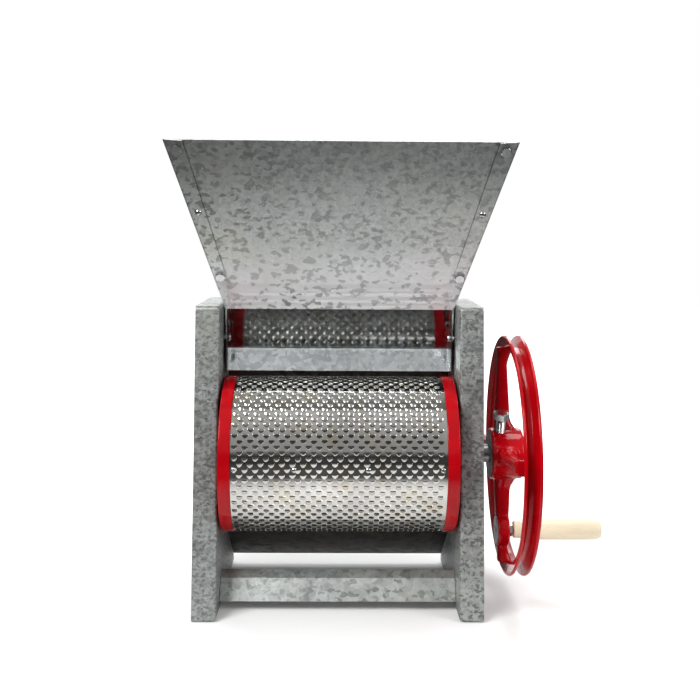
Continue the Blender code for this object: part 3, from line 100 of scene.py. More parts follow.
PRESS_MARKS = {0.0040: -0.00028, 0.0072: 0.00022, 0.0105: -0.00030, 0.0150: 0.00024, 0.0186: -0.00028,
               0.0232: -0.00020, 0.0290: 0.00018}  # height above the base: depth

ENAMEL_IOR = 1.28
ENAMEL_COAT = 0.12
GUIDE_CREASE_Z = 0.2745

DRUM_RING_RADIUS = 0.0843
DRUM_RING_OUTER_X = 0.1247
DRUM_RING_WIDTH = 0.0127
DRUM_SKIN_RADIUS = 0.0829
DRUM_SKIN_THICK = 0.0008
SEAM_SCREW_X = (-0.1080, -0.0460, 0.0300, 0.1070)
SEAM_HEAD = 0.0011
SKIN_MARGIN = 0.0040             # plain edge of the skin beside the teeth
TOOTH_LENGTH = 0.61              # share of the row pitch
TOOTH_UNEVEN = 0.07
TOOTH_SINK = 0.00025
TOOTH_CUT = (0.0, 0.96, 0.26)    # normal of the cut end
TOOTH_CUT_AT = 0.36

WHEEL_RADIUS = 0.1300
WHEEL_CENTRE_X = 0.1910
WHEEL_HUB_X = 0.1655
WHEEL_HUB_LENGTH = 0.0360
WHEEL_HUB_RADIUS = 0.0275
WHEEL_TURN = math.radians(-5.0)
SPOKE_X = 0.1802
SPOKE_START = 0.0165
SPOKE_END = 0.1175
SPOKE_STEPS = 22
SPOKE_SIDES = 28
CRANK_RADIUS = 0.0832
CRANK_BOSS_RADIUS = 0.0168
CRANK_BORE = 0.0043
CRANK_THREAD_END = 0.1960
GRIP_RADIUS = 0.0109
SET_BOLT_X = 0.1770
SET_BOLT_TILT = math.radians(16.0)


# ------------------------------------------------------------------ settings a user may change
class SheetSettings(bpy.types.PropertyGroup):
    thickness: bpy.props.FloatProperty(name="Sheet", description="Thickness of the hopper sheet",
                                       default=0.0012, unit="LENGTH")
    fold: bpy.props.FloatProperty(name="Fold radius", description="Outside radius of the folds",
                                  default=0.0018, unit="LENGTH")
    lap: bpy.props.FloatProperty(name="Corner lap", description="Width of the hopper laps at the top",
                                 default=0.0192, unit="LENGTH")
    spangle: bpy.props.FloatProperty(name="Spangle", description="Size of a zinc flower on the sheet",
                                     default=0.0070, unit="LENGTH")
    colour: bpy.props.FloatVectorProperty(name="Dull zinc", description="Colour of the frame and hopper",
                                          default=(0.442, 0.466, 0.455), subtype="COLOR", size=3)
    bright: bpy.props.FloatVectorProperty(name="Bright zinc", description="Colour of the inner plates",
                                          default=(0.62, 0.65, 0.66), subtype="COLOR", size=3)


class DrumSettings(bpy.types.PropertyGroup):
    column_pitch: bpy.props.FloatProperty(name="Column pitch", description="Tooth spacing along the drum",
                                          default=0.0109, unit="LENGTH")
    rows: bpy.props.IntProperty(name="Rows", description="Rows of teeth round the drum", default=88)
    tooth_width: bpy.props.FloatProperty(name="Tooth width", description="Width of one punched tooth",
                                         default=0.0071, unit="LENGTH")
    tooth_height: bpy.props.FloatProperty(name="Tooth height", description="How far a tooth stands out",
                                          default=0.0014, unit="LENGTH")
    colour: bpy.props.FloatVectorProperty(name="Skin", description="Colour of the punched skin",
                                          default=(0.67, 0.66, 0.63), subtype="COLOR", size=3)


class WheelSettings(bpy.types.PropertyGroup):
    enamel: bpy.props.FloatVectorProperty(name="Enamel", description="Colour of the wheel and drum ends",
                                          default=(0.46, 0.0015, 0.006), subtype="COLOR", size=3)
    grain: bpy.props.FloatProperty(name="Casting grain", description="Cell of the cast surface",
                                   default=0.0014, unit="LENGTH")


class GripSettings(bpy.types.PropertyGroup):
    radius: bpy.props.FloatProperty(name="Grip radius", description="Thickest radius of the grip",
                                    default=GRIP_RADIUS, unit="LENGTH")
    wood: bpy.props.FloatVectorProperty(name="Wood", description="Colour of the pale turned wood",
                                        default=(0.84, 0.73, 0.53), subtype="COLOR", size=3)


class StageSettings(bpy.types.PropertyGroup):
    floor: bpy.props.FloatVectorProperty(name="Floor", description="Colour of the studio floor",
                                         default=(0.88, 0.88, 0.88), subtype="COLOR", size=3)
    key_power: bpy.props.FloatProperty(name="Key light", description="Power of the main soft light",
                                       default=30.0, unit="POWER")


# ------------------------------------------------------------------ shader building
class Value:
    """An output socket of a material's nodes; arithmetic on it adds Math nodes."""

    def __init__(self, board, socket):
        self.board = board
        self.socket = socket

    def math(self, operation, other):
        return self.board.node("ShaderNodeMath", {"operation": operation}, {0: self, 1: other})

    def vector_math(self, operation, values):
        return self.board.node("ShaderNodeVectorMath", {"operation": operation}, {0: self, **values})

    def __add__(self, other):
        return self.math("ADD", other)

    __radd__ = __add__

    def __sub__(self, other):
        return self.math("SUBTRACT", other)

    def __rsub__(self, other):
        return (self * -1.0) + other

    def __mul__(self, other):
        return self.math("MULTIPLY", other)

    __rmul__ = __mul__

    def above(self, low, high):
        """0 under low, 1 over high and smooth between them."""
        values = {"Value": self, "From Min": low, "From Max": high}
        return self.board.node("ShaderNodeMapRange", {"interpolation_type": "SMOOTHSTEP"}, values)

    def scaled(self, factor):
        return self.vector_math("SCALE", {"Scale": factor})

    def moved(self, other):
        return self.vector_math("ADD", {1: other})

    def stretched(self, x, y, z):
        return self.vector_math("MULTIPLY", {1: (x, y, z)})

    def length(self):
        return self.board.node("ShaderNodeVectorMath", {"operation": "LENGTH"}, {0: self}, "Value")

    def part(self, letter):
        return self.board.node("ShaderNodeSeparateXYZ", {}, {"Vector": self}, letter)


class Board:
    """The node tree of one material while it is wired up."""

    def __init__(self, name):
        self.material = bpy.data.materials.new(name)
        self.material.use_nodes = True
        self.tree = self.material.node_tree
        self.tree.nodes.clear()
        self.place = self.node("ShaderNodeTexCoord", {}, {}, "Object")

    def node(self, kind, settings=None, values=None, output=0):
        item = self.tree.nodes.new(kind)
        for key, value in (settings or {}).items():
            if key == "stops":
                self.set_stops(item.color_ramp, value)
            else:
                setattr(item, key, value)
        for key, value in (values or {}).items():
            socket = item.inputs[key]
            if isinstance(value, Value):
                self.tree.links.new(value.socket, socket)
            elif isinstance(value, (tuple, list)) and socket.type == "RGBA":
                socket.default_value = (*value[:3], 1.0)
            else:
                socket.default_value = value
        return Value(self, item.outputs[output])

    def set_stops(self, ramp, stops):
        while len(ramp.elements) < len(stops):
            ramp.elements.new(1.0)
        for element, (position, grey) in zip(ramp.elements, stops):
            element.position = position
            element.color = (grey, grey, grey, 1.0)

    def mix(self, factor, first, second):
        """Colour between first and second."""
        return self.node("ShaderNodeMix", {"data_type": "RGBA"}, {0: factor, 6: first, 7: second}, 2)

    def noise(self, scale, detail=3.0, roughness=0.5, place=None, output="Fac"):
        values = {"Vector": place or self.place, "Scale": scale, "Detail": detail, "Roughness": roughness}
        return self.node("ShaderNodeTexNoise", {}, values, output)

    def cells(self, scale, place=None, output="Distance"):
        return self.node("ShaderNodeTexVoronoi", {}, {"Vector": place or self.place, "Scale": scale}, output)

    def bump(self, height, distance, strength):
        return self.node("ShaderNodeBump", {}, {"Height": height, "Distance": distance, "Strength": strength})

    def surface(self, **sockets):
        """Ends the tree in a Principled shader; underscores in names stand for spaces."""
        values = {key.replace("_", " "): value for key, value in sockets.items()}
        self.finish_with(self.node("ShaderNodeBsdfPrincipled", {}, values))
        return self.material

    def finish_with(self, shader):
        item = self.tree.nodes.new("ShaderNodeOutputMaterial")
        self.tree.links.new(shader.socket, item.inputs["Surface"])


def tone(colour, factor):
    return tuple(min(1.0, channel * factor) for channel in colour)


def zinc_sheet(name, colour, spangle, contrast, gloss, dark_share=0.22, metal=0.85, painted_light_heights=None):
    """Hot-dipped sheet: crossed zinc flowers, dark blotches, cloudy patches and fine rub marks. Given three heights,
    its downward faces are painted near-white and less metallic low down, as a painted reflection of the lit drum and
    floor, and it is painted darker towards the top as painted shade.
    """
    board = Board(name)
    drift = board.noise(120.0, 4.0, output="Color").scaled(spangle * 1.3)
    place = board.place.moved(drift)
    flower = board.cells(1.0 / spangle, place, "Color").part("X")
    small = board.cells(2.2 / spangle, place, "Color").part("Y")
    blotch_cell = board.cells(1.35 / spangle, place.stretched(0.75, 0.75, 1.15), "Color").part("Z")
    cloud = board.noise(8.0, 5.0, 0.6)
    broad = board.noise(3.2, 3.0, 0.5)
    rub = board.noise(1.0, 4.0, 0.7, board.place.stretched(50.0, 50.0, 900.0))
    speck = board.noise(850.0, 3.0, 0.7)
    where = broad.above(0.44, 0.60)
    blotch = blotch_cell.above(dark_share, dark_share - 0.06) * ((where * 0.60) + 0.40)
    shade = ((flower - 0.5) * 0.20 * contrast) + ((small - 0.5) * 0.13 * contrast)
    shade = shade + ((cloud - 0.5) * 0.42) + ((rub - 0.5) * 0.12) + ((speck - 0.5) * 0.16)
    shade = shade - (blotch * 0.38 * contrast)
    bright = (shade + 0.54).above(0.05, 0.98)
    base = board.mix(bright, tone(colour, 0.50), tone(colour, 1.42))
    warm = (0.47, 0.45, 0.36)
    base = board.mix(cloud.above(0.50, 0.72) * 0.28, base, tone(warm, colour[1] / 0.42))
    metallic = metal
    # Painted light: a near-white, less metallic foot on downward faces is a painted reflection, and a darker top is
    # painted shade.
    if painted_light_heights is not None:
        facing = board.node("ShaderNodeNewGeometry", {}, {}, "Normal").part("Z").above(0.15, -0.05)
        pale = (board.place.part("Z") + ((cloud - 0.5) * 0.05)).above(painted_light_heights[1], painted_light_heights[0]) * facing
        base = board.mix(pale, base, board.mix(blotch, (0.96, 0.96, 0.98), (0.20, 0.21, 0.23)))
        dull = (board.place.part("Z") + ((cloud - 0.5) * 0.06)).above(painted_light_heights[1], painted_light_heights[2])
        base = board.mix(dull * 0.42, base, tone(colour, 0.30))
        metallic = metal - (pale * 0.58)
    roughness = (flower * 0.14) + (blotch * 0.10) + (rub * 0.08) + (1.0 - gloss)
    relief = board.bump((flower * 0.4) + (rub * 0.25) + (cloud * 1.6) + (speck * 0.12), 0.00028, 0.38)
    return board.surface(Base_Color=base, Roughness=roughness, Metallic=metallic, Normal=relief)


def mirror_sheet(name, colour, dark_from):
    """Cold bright sheet that mirrors the drum softly, painted darker above a height as a painted reflection of the
    drum.
    """
    board = Board(name)
    drift = board.noise(70.0, 3.0, output="Color").scaled(0.012)
    flower = board.cells(190.0, board.place.moved(drift), "Color").part("X")
    dent = board.noise(22.0, 2.0, 0.5)
    lines = board.noise(1.0, 3.0, 0.6, board.place.stretched(12.0, 900.0, 900.0))
    haze = board.noise(14.0, 4.0, 0.6)
    tint = (flower - 0.5) * 0.48 + ((haze - 0.5) * 0.55) + ((lines - 0.5) * 0.25) + 0.5
    base = board.mix(tint.above(0.0, 1.0), tone(colour, 0.84), tone(colour, 1.50))
    # Painted reflection: the base is darker above the crease, standing in for the drum mirrored in the upper plate.
    painted_dark_reflection = (board.place.part("Z") + ((haze - 0.5) * 0.004)).above(dark_from, dark_from + 0.004)
    base = board.mix(painted_dark_reflection, base, board.mix(tint.above(0.0, 1.0), tone(colour, 0.24), tone(colour, 0.55)))
    rough = (flower * 0.03) + (lines * 0.03) + (haze * 0.03) + ((1.0 - painted_dark_reflection) * 0.05) + 0.055
    relief = board.bump((dent * 1.6) + (lines * 0.05) + (flower * 0.08), 0.00040, 0.16)
    return board.surface(Base_Color=base, Roughness=rough, Metallic=1.0, Normal=relief)


def red_enamel(name, colour, bare_spots=()):
    """Thick glossy enamel on a casting, bare where a machined spot (centre, radius, highest X) is."""
    board = Board(name)
    ripple = board.noise(95.0, 2.0, 0.5)
    pits = board.noise(420.0, 2.0, 0.6)
    pool = board.noise(22.0, 3.0, 0.5)
    base = board.mix(pool.above(0.25, 0.8), tone(colour, 0.80), tone(colour, 1.15))
    specks = board.cells(160.0, None, "Distance").above(0.09, 0.05) * board.noise(30.0).above(0.60, 0.66)
    base = board.mix(specks, base, (0.10, 0.03, 0.03))
    relief = board.bump(ripple + (pits * 0.10), 0.0008, 0.16)
    rough = (pool * 0.07) + 0.08
    bare = None
    for centre, radius, highest_x in bare_spots:
        offset = board.place.moved(tuple(-part for part in centre)).stretched(0.0, 1.0, 1.0)
        reach = offset.length()
        spot = reach.above(radius + 0.0004, radius) * board.place.part("X").above(highest_x + 0.0003, highest_x)
        bare = spot if bare is None else bare + spot
    metallic = 0.0
    coat = ENAMEL_COAT
    if bare is not None:
        rings = board.noise(1.0, 2.0, 0.5, board.place.stretched(1500.0, 1500.0, 1500.0))
        steel = board.mix(rings, (0.36, 0.36, 0.37), (0.62, 0.62, 0.63))
        base = board.mix(bare, base, steel)
        rough = rough + (bare * 0.24)
        metallic = bare * 0.9
        coat = ENAMEL_COAT - (bare * ENAMEL_COAT)
    return board.surface(Base_Color=base, Roughness=rough, Metallic=metallic, Normal=relief,
                         Coat_Weight=coat, Coat_Roughness=0.06, IOR=ENAMEL_IOR)


def punched_metal(name, colour):
    """Bright punched sheet with straw and brown tints round the teeth."""
    board = Board(name)
    haze = board.noise(16.0, 5.0, 0.6)
    tint = board.noise(45.0, 3.0, 0.6)
    fine = board.noise(700.0, 2.0, 0.5)
    wave = board.noise(24.0, 2.0, 0.5)
    base = board.mix(haze.above(0.3, 0.75), tone(colour, 0.86), tone(colour, 1.16))
    base = board.mix(tint.above(0.48, 0.76) * 0.50, base, (0.58, 0.50, 0.31))
    base = board.mix(board.noise(28.0, 4.0, 0.65).above(0.66, 0.80) * 0.55, base, (0.32, 0.20, 0.10))
    rough = (haze * 0.06) + (fine * 0.04) + 0.03
    relief = board.bump(fine + (wave * 7.0), 0.00012, 0.25)
    return board.surface(Base_Color=base, Roughness=rough, Metallic=1.0, Normal=relief)


def plated_metal(name, colour, rough_base):
    """Plated screws and nuts: fine grain with a faint straw cast."""
    board = Board(name)
    grain = board.noise(520.0, 3.0, 0.6)
    patch = board.noise(70.0, 3.0, 0.6)
    base = board.mix(patch.above(0.35, 0.75), tone(colour, 0.82), tone(colour, 1.12))
    base = board.mix(patch.above(0.62, 0.78) * 0.35, base, (0.55, 0.50, 0.33))
    rough = (grain * 0.14) + (patch * 0.10) + rough_base
    return board.surface(Base_Color=base, Roughness=rough, Metallic=1.0,
                         Normal=board.bump(grain, 0.00008, 0.4))


def turned_metal(name, colour):
    """Lathe-turned steel with fine tool lines round X and a film of oil."""
    board = Board(name)
    lines = board.noise(1.0, 3.0, 0.6, board.place.stretched(2600.0, 40.0, 40.0))
    stain = board.noise(40.0, 4.0, 0.6)
    base = board.mix(stain.above(0.3, 0.8), tone(colour, 0.62), tone(colour, 1.10))
    base = board.mix(stain.above(0.66, 0.76) * 0.4, base, (0.22, 0.13, 0.07))
    rough = (lines * 0.18) + (stain * 0.14) + 0.14
    return board.surface(Base_Color=base, Roughness=rough, Metallic=1.0,
                         Normal=board.bump(lines, 0.00010, 0.5))


def grey_iron(name, colour):
    """Sand-cast grey iron, painted dull and rubbed at the high spots."""
    board = Board(name)
    sand = board.noise(420.0, 4.0, 0.65)
    lump = board.noise(130.0, 4.0, 0.6)
    base = board.mix(lump.above(0.3, 0.75), tone(colour, 0.82), tone(colour, 1.2))
    base = board.mix(sand.above(0.62, 0.78) * 0.5, base, (0.26, 0.26, 0.26))
    rough = (sand * 0.25) + (lump * 0.10) + 0.38
    return board.surface(Base_Color=base, Roughness=rough, Metallic=0.55,
                         Normal=board.bump(sand + lump, 0.00035, 0.6))


def turned_wood(name, colour, along_x, depth):
    """Close-grained wood turned on a lathe, grain along X."""
    board = Board(name)
    stretch = (6.0, 70.0, 70.0) if along_x else (70.0, 70.0, 6.0)
    drift = board.noise(14.0, 2.0, 0.5, output="Color").scaled(0.02)
    place = board.place.moved(drift)
    grain = board.noise(1.0, 5.0, 0.6, place.stretched(*stretch))
    pores = board.noise(1.0, 2.0, 0.5, place.stretched(stretch[0] * 9.0, stretch[1] * 14.0, stretch[2] * 14.0))
    flecks = pores.above(0.60, 0.72)
    base = board.mix(grain.above(0.25, 0.75), tone(colour, 1.0 - depth), tone(colour, 1.0 + depth * 0.6))
    base = board.mix(flecks * 0.30, base, tone(colour, 0.62))
    rough = (grain * 0.12) + (flecks * 0.15) + 0.34
    return board.surface(Base_Color=base, Roughness=rough, Metallic=0.0, Coat_Weight=0.12,
                         Coat_Roughness=0.25, Normal=board.bump((grain * 0.4) - flecks, 0.00010, 0.5))


def shadow_slot(name):
    """Near-black painted shadow standing in for the dark inside of the drum seen through the slit behind a punched
    tooth.
    """
    board = Board(name)
    grain = board.noise(600.0, 2.0, 0.5)
    base = board.mix(grain, (0.010, 0.009, 0.008), (0.035, 0.030, 0.024))
    return board.surface(Base_Color=base, Roughness=(grain * 0.2) + 0.6, Metallic=0.2)


def wheel_bare_spots():
    """Machined faces of the hand wheel: the hub's near face and the crank boss's near face."""
    axis = MACHINE + Vector((0.0, 0.0, AXIS_Z))
    crank = axis + Vector((0.0, CRANK_RADIUS * math.sin(WHEEL_TURN), -CRANK_RADIUS * math.cos(WHEEL_TURN)))
    return ((tuple(axis), WHEEL_HUB_RADIUS - 0.0008, MACHINE.x + WHEEL_HUB_X + 0.0004),
            (tuple(crank), 0.0160, MACHINE.x + SPOKE_X - 0.0060))


FINISHES = {}


def finish(name):
    """A finish of this machine, made the first time it is asked for."""
    if name not in FINISHES:
        FINISHES[name] = new_finish(name)
    return FINISHES[name]


def new_finish(name):
    # Heights of the painted reflection at the hopper's foot and of the painted shade towards its top.
    painted_light_heights = tuple(HOPPER_BASE_Z + height for height in (0.004, 0.088, 0.165))
    sheet = bpy.context.scene.pulper_sheet
    drum = bpy.context.scene.pulper_drum
    wheel = bpy.context.scene.pulper_wheel
    grip = bpy.context.scene.pulper_grip
    makers = {
        "galvanised": lambda: zinc_sheet("galvanised_sheet", sheet.colour, sheet.spangle * 0.80, 1.25,
                                         0.76, 0.26, 0.90, painted_light_heights),
        "frame_zinc": lambda: zinc_sheet("frame_sheet", tone(sheet.colour, 0.76), sheet.spangle * 0.50, 1.7,
                                         0.60, 0.26, 0.75),
        "bright_galvanised": lambda: mirror_sheet("bright_sheet", sheet.bright, GUIDE_CREASE_Z),
        "cross_zinc": lambda: zinc_sheet("cross_sheet", tone(sheet.colour, 0.83), sheet.spangle * 0.9, 1.0,
                                         0.66, 0.20, 0.85),
        # Near-black sheet for the chute and throat plate: partly real stains, partly painted shade of the dark space
        # under the drum.
        "stain_and_shade_zinc": lambda: zinc_sheet("stained_sheet", (0.050, 0.042, 0.038), sheet.spangle * 1.2, 1.3,
                                           0.52, 0.34, 0.6),
        "red_enamel": lambda: red_enamel("red_enamel", wheel.enamel),
        "wheel_enamel": lambda: red_enamel("wheel_enamel", wheel.enamel, wheel_bare_spots()),
        "punched_skin": lambda: punched_metal("punched_sheet", drum.colour),
        "slit_shadow": lambda: shadow_slot("tooth_slit"),
        "zinc_plated": lambda: plated_metal("zinc_plate", (0.66, 0.67, 0.68), 0.11),
        "turned_steel": lambda: turned_metal("turned_steel", (0.42, 0.42, 0.43)),
        "cast_iron": lambda: grey_iron("grey_iron", (0.115, 0.115, 0.112)),
        "beech": lambda: turned_wood("beech_grip", grip.wood, True, 0.10),
        "core_wood": lambda: turned_wood("core_wood", (0.42, 0.27, 0.14), True, 0.35),
    }
    return makers[name]()


# ------------------------------------------------------------------ modelling by hand tools
def deselect():
    if bpy.context.object is not None and bpy.context.object.mode != "OBJECT":
        bpy.ops.object.mode_set(mode="OBJECT")
    bpy.ops.object.select_all(action="DESELECT")


def use(piece):
    """Makes piece the only selected object."""
    deselect()
    piece.hide_viewport = False
    piece.select_set(True)
    bpy.context.view_layer.objects.active = piece
    return piece


def named(name):
    piece = bpy.context.object
    piece.name = name
    piece.data.name = name
    return piece


def pick(piece, kind, wanted):
    """In edit mode, selects the verts, edges or faces that wanted says and nothing else."""
    bpy.ops.mesh.select_mode(type=kind)
    bpy.ops.mesh.select_all(action="DESELECT")
    mesh = bmesh.from_edit_mesh(piece.data)
    items = {"VERT": mesh.verts, "EDGE": mesh.edges, "FACE": mesh.faces}[kind]
    found = [item for item in items if wanted(item)]
    for item in found:
        item.select_set(True)
    mesh.select_flush_mode()
    bmesh.update_edit_mesh(piece.data)
    return len(found)


def place_selected(piece, where):
    """Puts each selected vertex where where(old place) says."""
    mesh = bmesh.from_edit_mesh(piece.data)
    for vert in mesh.verts:
        if vert.select:
            vert.co = where(vert.co.copy())
    bmesh.update_edit_mesh(piece.data)


def pull_edges(piece, wanted, where):
    """Extrudes the wanted edges, and each new vertex goes where where(old place) says."""
    if not pick(piece, "EDGE", wanted):
        raise ValueError(piece.name + ": no edge to pull")
    bpy.ops.mesh.extrude_edges_move(TRANSFORM_OT_translate={"value": (0.0, 0.0, 0.0)})
    place_selected(piece, where)


def cut_along(place, normal, **settings):
    """In edit mode, cuts every face along the plane through place."""
    bpy.ops.mesh.select_all(action="SELECT")
    bpy.ops.mesh.bisect(plane_co=place, plane_no=normal, **settings)


def modify(piece, kind, **settings):
    """Adds a modifier, applies it and leaves the result in the mesh."""
    use(piece)
    change = piece.modifiers.new(kind.lower(), kind)
    for key, value in settings.items():
        setattr(change, key, value)
    bpy.ops.object.modifier_apply(modifier=change.name)
    return piece


def carve(piece, tool, operation="DIFFERENCE"):
    modify(piece, "BOOLEAN", operation=operation, object=tool, solver="EXACT")
    bpy.data.objects.remove(tool)
    return piece


def join(first, *others):
    use(first)
    for other in others:
        other.select_set(True)
    bpy.ops.object.join()


def flat_sheet(name, corners):
    """One four-cornered face made from a plane, its corners in the order given."""
    deselect()
    bpy.ops.mesh.primitive_plane_add(size=1.0)
    piece = named(name)
    face = piece.data.polygons[0]
    for index, corner in zip(face.vertices, corners):
        piece.data.vertices[index].co = corner
    bpy.ops.object.mode_set(mode="EDIT")
    return piece


def fold_edges(piece, wanted, radius):
    """Rounds the wanted fold lines of an open sheet."""
    pick(piece, "EDGE", wanted)
    bpy.ops.mesh.bevel(offset=radius, offset_type="OFFSET", segments=4, profile=0.5, clamp_overlap=True)


def sharp_fold(edge):
    return len(edge.link_faces) == 2 and edge.calc_face_angle(0.0) > math.radians(40.0)


def soften(piece, width, segments, angle):
    return modify(piece, "BEVEL", width=width, segments=segments, limit_method="ANGLE",
                  angle_limit=math.radians(angle), use_clamp_overlap=True)


def thicken(piece, thick):
    """Gives an open sheet its thickness and softens the sheared edges."""
    bpy.ops.object.mode_set(mode="OBJECT")
    modify(piece, "SOLIDIFY", thickness=thick, offset=-1.0, use_even_offset=True, use_quality_normals=True)
    return soften(piece, 0.00025, 2, 50.0)


def apply_placing():
    bpy.ops.object.transform_apply(location=True, rotation=True, scale=True)


def block(place, size):
    """A cutting block of that size with its middle at place."""
    deselect()
    bpy.ops.mesh.primitive_cube_add(size=1.0, location=place)
    tool = named("block_tool")
    tool.scale = size
    apply_placing()
    return tool


def turned(name, profile, steps=96, closed=False):
    """Turns (place along X, radius) points round the X axis into a closed body."""
    deselect()
    bpy.ops.mesh.primitive_circle_add(vertices=len(profile), fill_type="NOTHING")
    piece = named(name)
    for vert, (along, radius) in zip(piece.data.vertices, profile):
        vert.co = (along, 0.0, radius)
    bpy.ops.object.mode_set(mode="EDIT")
    if not closed:
        on_axis = 1e-7
        pick(piece, "EDGE", lambda edge: all(abs(vert.co.z) < on_axis for vert in edge.verts))
        bpy.ops.mesh.delete(type="EDGE")
    bpy.ops.mesh.select_all(action="SELECT")
    bpy.ops.mesh.spin(steps=steps, angle=math.tau, center=(0.0, 0.0, 0.0), axis=(1.0, 0.0, 0.0))
    bpy.ops.mesh.select_all(action="SELECT")
    bpy.ops.mesh.remove_doubles(threshold=1e-6)
    bpy.ops.mesh.normals_make_consistent(inside=False)
    bpy.ops.object.mode_set(mode="OBJECT")
    return piece


def arc(centre, radius, start, end, count=4):
    """Profile points of a rounded edge; angles in degrees, 0 along X and 90 outwards."""
    points = []
    for index in range(count + 1):
        angle = math.radians(start + (end - start) * index / count)
        points.append((centre[0] + radius * math.cos(angle), centre[1] + radius * math.sin(angle)))
    return points


def aim(piece, origin, direction, roll=0.0):
    """Turns a piece built along +X to point along direction, from origin."""
    turn = Vector(direction).normalized().to_track_quat("X", "Z").to_matrix().to_4x4()
    piece.data.transform(Matrix.Translation(origin) @ turn @ Matrix.Rotation(roll, 4, "X"))
    return piece


def copy_of(piece, name):
    twin = piece.copy()
    twin.data = piece.data.copy()
    twin.name = twin.data.name = name
    bpy.context.scene.collection.objects.link(twin)
    return twin


def move_mesh(piece, offset):
    piece.data.transform(Matrix.Translation(offset))


def in_machine(node):
    """Box of a CAD node, measured from the middle of the machine."""
    low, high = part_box(node)
    return low - MACHINE, high - MACHINE


def refined(node, edge, segments=2):
    """A merged copy of a CAD node with its edges softened, in machine places."""
    piece = copy_of(frame["nodes"][node], node + "_finish")
    for key in list(piece.keys()):
        del piece[key]
    piece.parent = None
    piece.hide_render = False
    piece.data.materials.clear()
    piece.data.transform(Matrix.Translation(-MACHINE))
    use(piece)
    if piece.data.has_custom_normals:
        bpy.ops.mesh.customdata_custom_splitnormals_clear()
    bpy.ops.object.mode_set(mode="EDIT")
    bpy.ops.mesh.select_all(action="SELECT")
    bpy.ops.mesh.remove_doubles(threshold=2e-6)
    bpy.ops.mesh.dissolve_limited(angle_limit=math.radians(1.0))
    bpy.ops.object.mode_set(mode="OBJECT")
    return soften(piece, edge, segments, 34.0)


BODY_OF = {node: body for body, nodes in frame["record"]["behaviour"]["bodies"].items() for node in nodes}


def stand_in(piece, look, node, smooth=32.0):
    """Shades the piece, dresses it, moves it from machine places to the frame and hands it over for its node."""
    use(piece)
    bpy.ops.object.shade_smooth_by_angle(angle=math.radians(smooth))
    modify(piece, "WEIGHTED_NORMAL", keep_sharp=True)
    if len(piece.data.materials) == 0:
        piece.data.materials.append(finish(look))
    piece.data.transform(Matrix.Translation(MACHINE))
    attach(piece, BODY_OF[node])
    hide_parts(node)
    piece.select_set(False)


def finish_nodes(look, edge, *nodes, segments=2):
    """Softens the edges of CAD nodes whose shape is right and gives them their look."""
    for node in nodes:
        stand_in(refined(node, edge, segments), look, node)


# ------------------------------------------------------------------ stage
CAMERA_PLACE = (-0.0071, -1.1302, 0.4149)
CAMERA_YAW = 0.0159
CAMERA_PITCH = 0.0337
CAMERA_ROLL = 0.0073
CAMERA_LENS = 53.07
CAMERA_SHIFT_Y = -0.1286
TABLE_MIDDLE_Y = 0.02
TABLE_NARROW = 0.75
TABLE_NEAR = 0.20
TABLE_FAR = 0.46
FLOOR_GLOW = 0.05
FLOOR_WHITE_NEAR = 0.27
FLOOR_WHITE_FAR = 0.60
ROOM_FRONT = ((0.0, 0.5), (0.40, 0.07), (0.57, 0.045), (0.62, 0.34), (0.80, 0.40), (0.92, 0.50), (1.0, 0.56))
ROOM_REAR = ((0.0, 0.6), (0.47, 0.80), (0.66, 0.84), (0.85, 0.60), (1.0, 0.52))
LAMPS = (  # name, place, place it is aimed at, size, share of the key light's power
    ("key_softbox", (-1.0, -1.15, 1.35), (0.0, 0.0, 0.25), (0.90, 0.80), 1.0),
    ("fill_softbox", (1.35, -1.0, 0.95), (0.05, 0.0, 0.2), (0.60, 0.80), 0.40),
    ("top_softbox", (0.1, 0.25, 1.9), (0.0, 0.0, 0.2), (1.1, 0.9), 0.75),
    ("side_strip", (-0.10, 1.1, 0.9), (0.1, 0.0, 0.3), (1.4, 0.5), 0.25),
)


def soft_lamp(name, place, target, size, power):
    deselect()
    bpy.ops.object.light_add(type="AREA", location=place)
    lamp = bpy.context.object
    lamp.name = name
    lamp.data.shape = "RECTANGLE"
    lamp.data.size, lamp.data.size_y = size
    lamp.data.energy = power
    lamp.rotation_euler = (Vector(target) - Vector(place)).to_track_quat("-Z", "Y").to_euler()


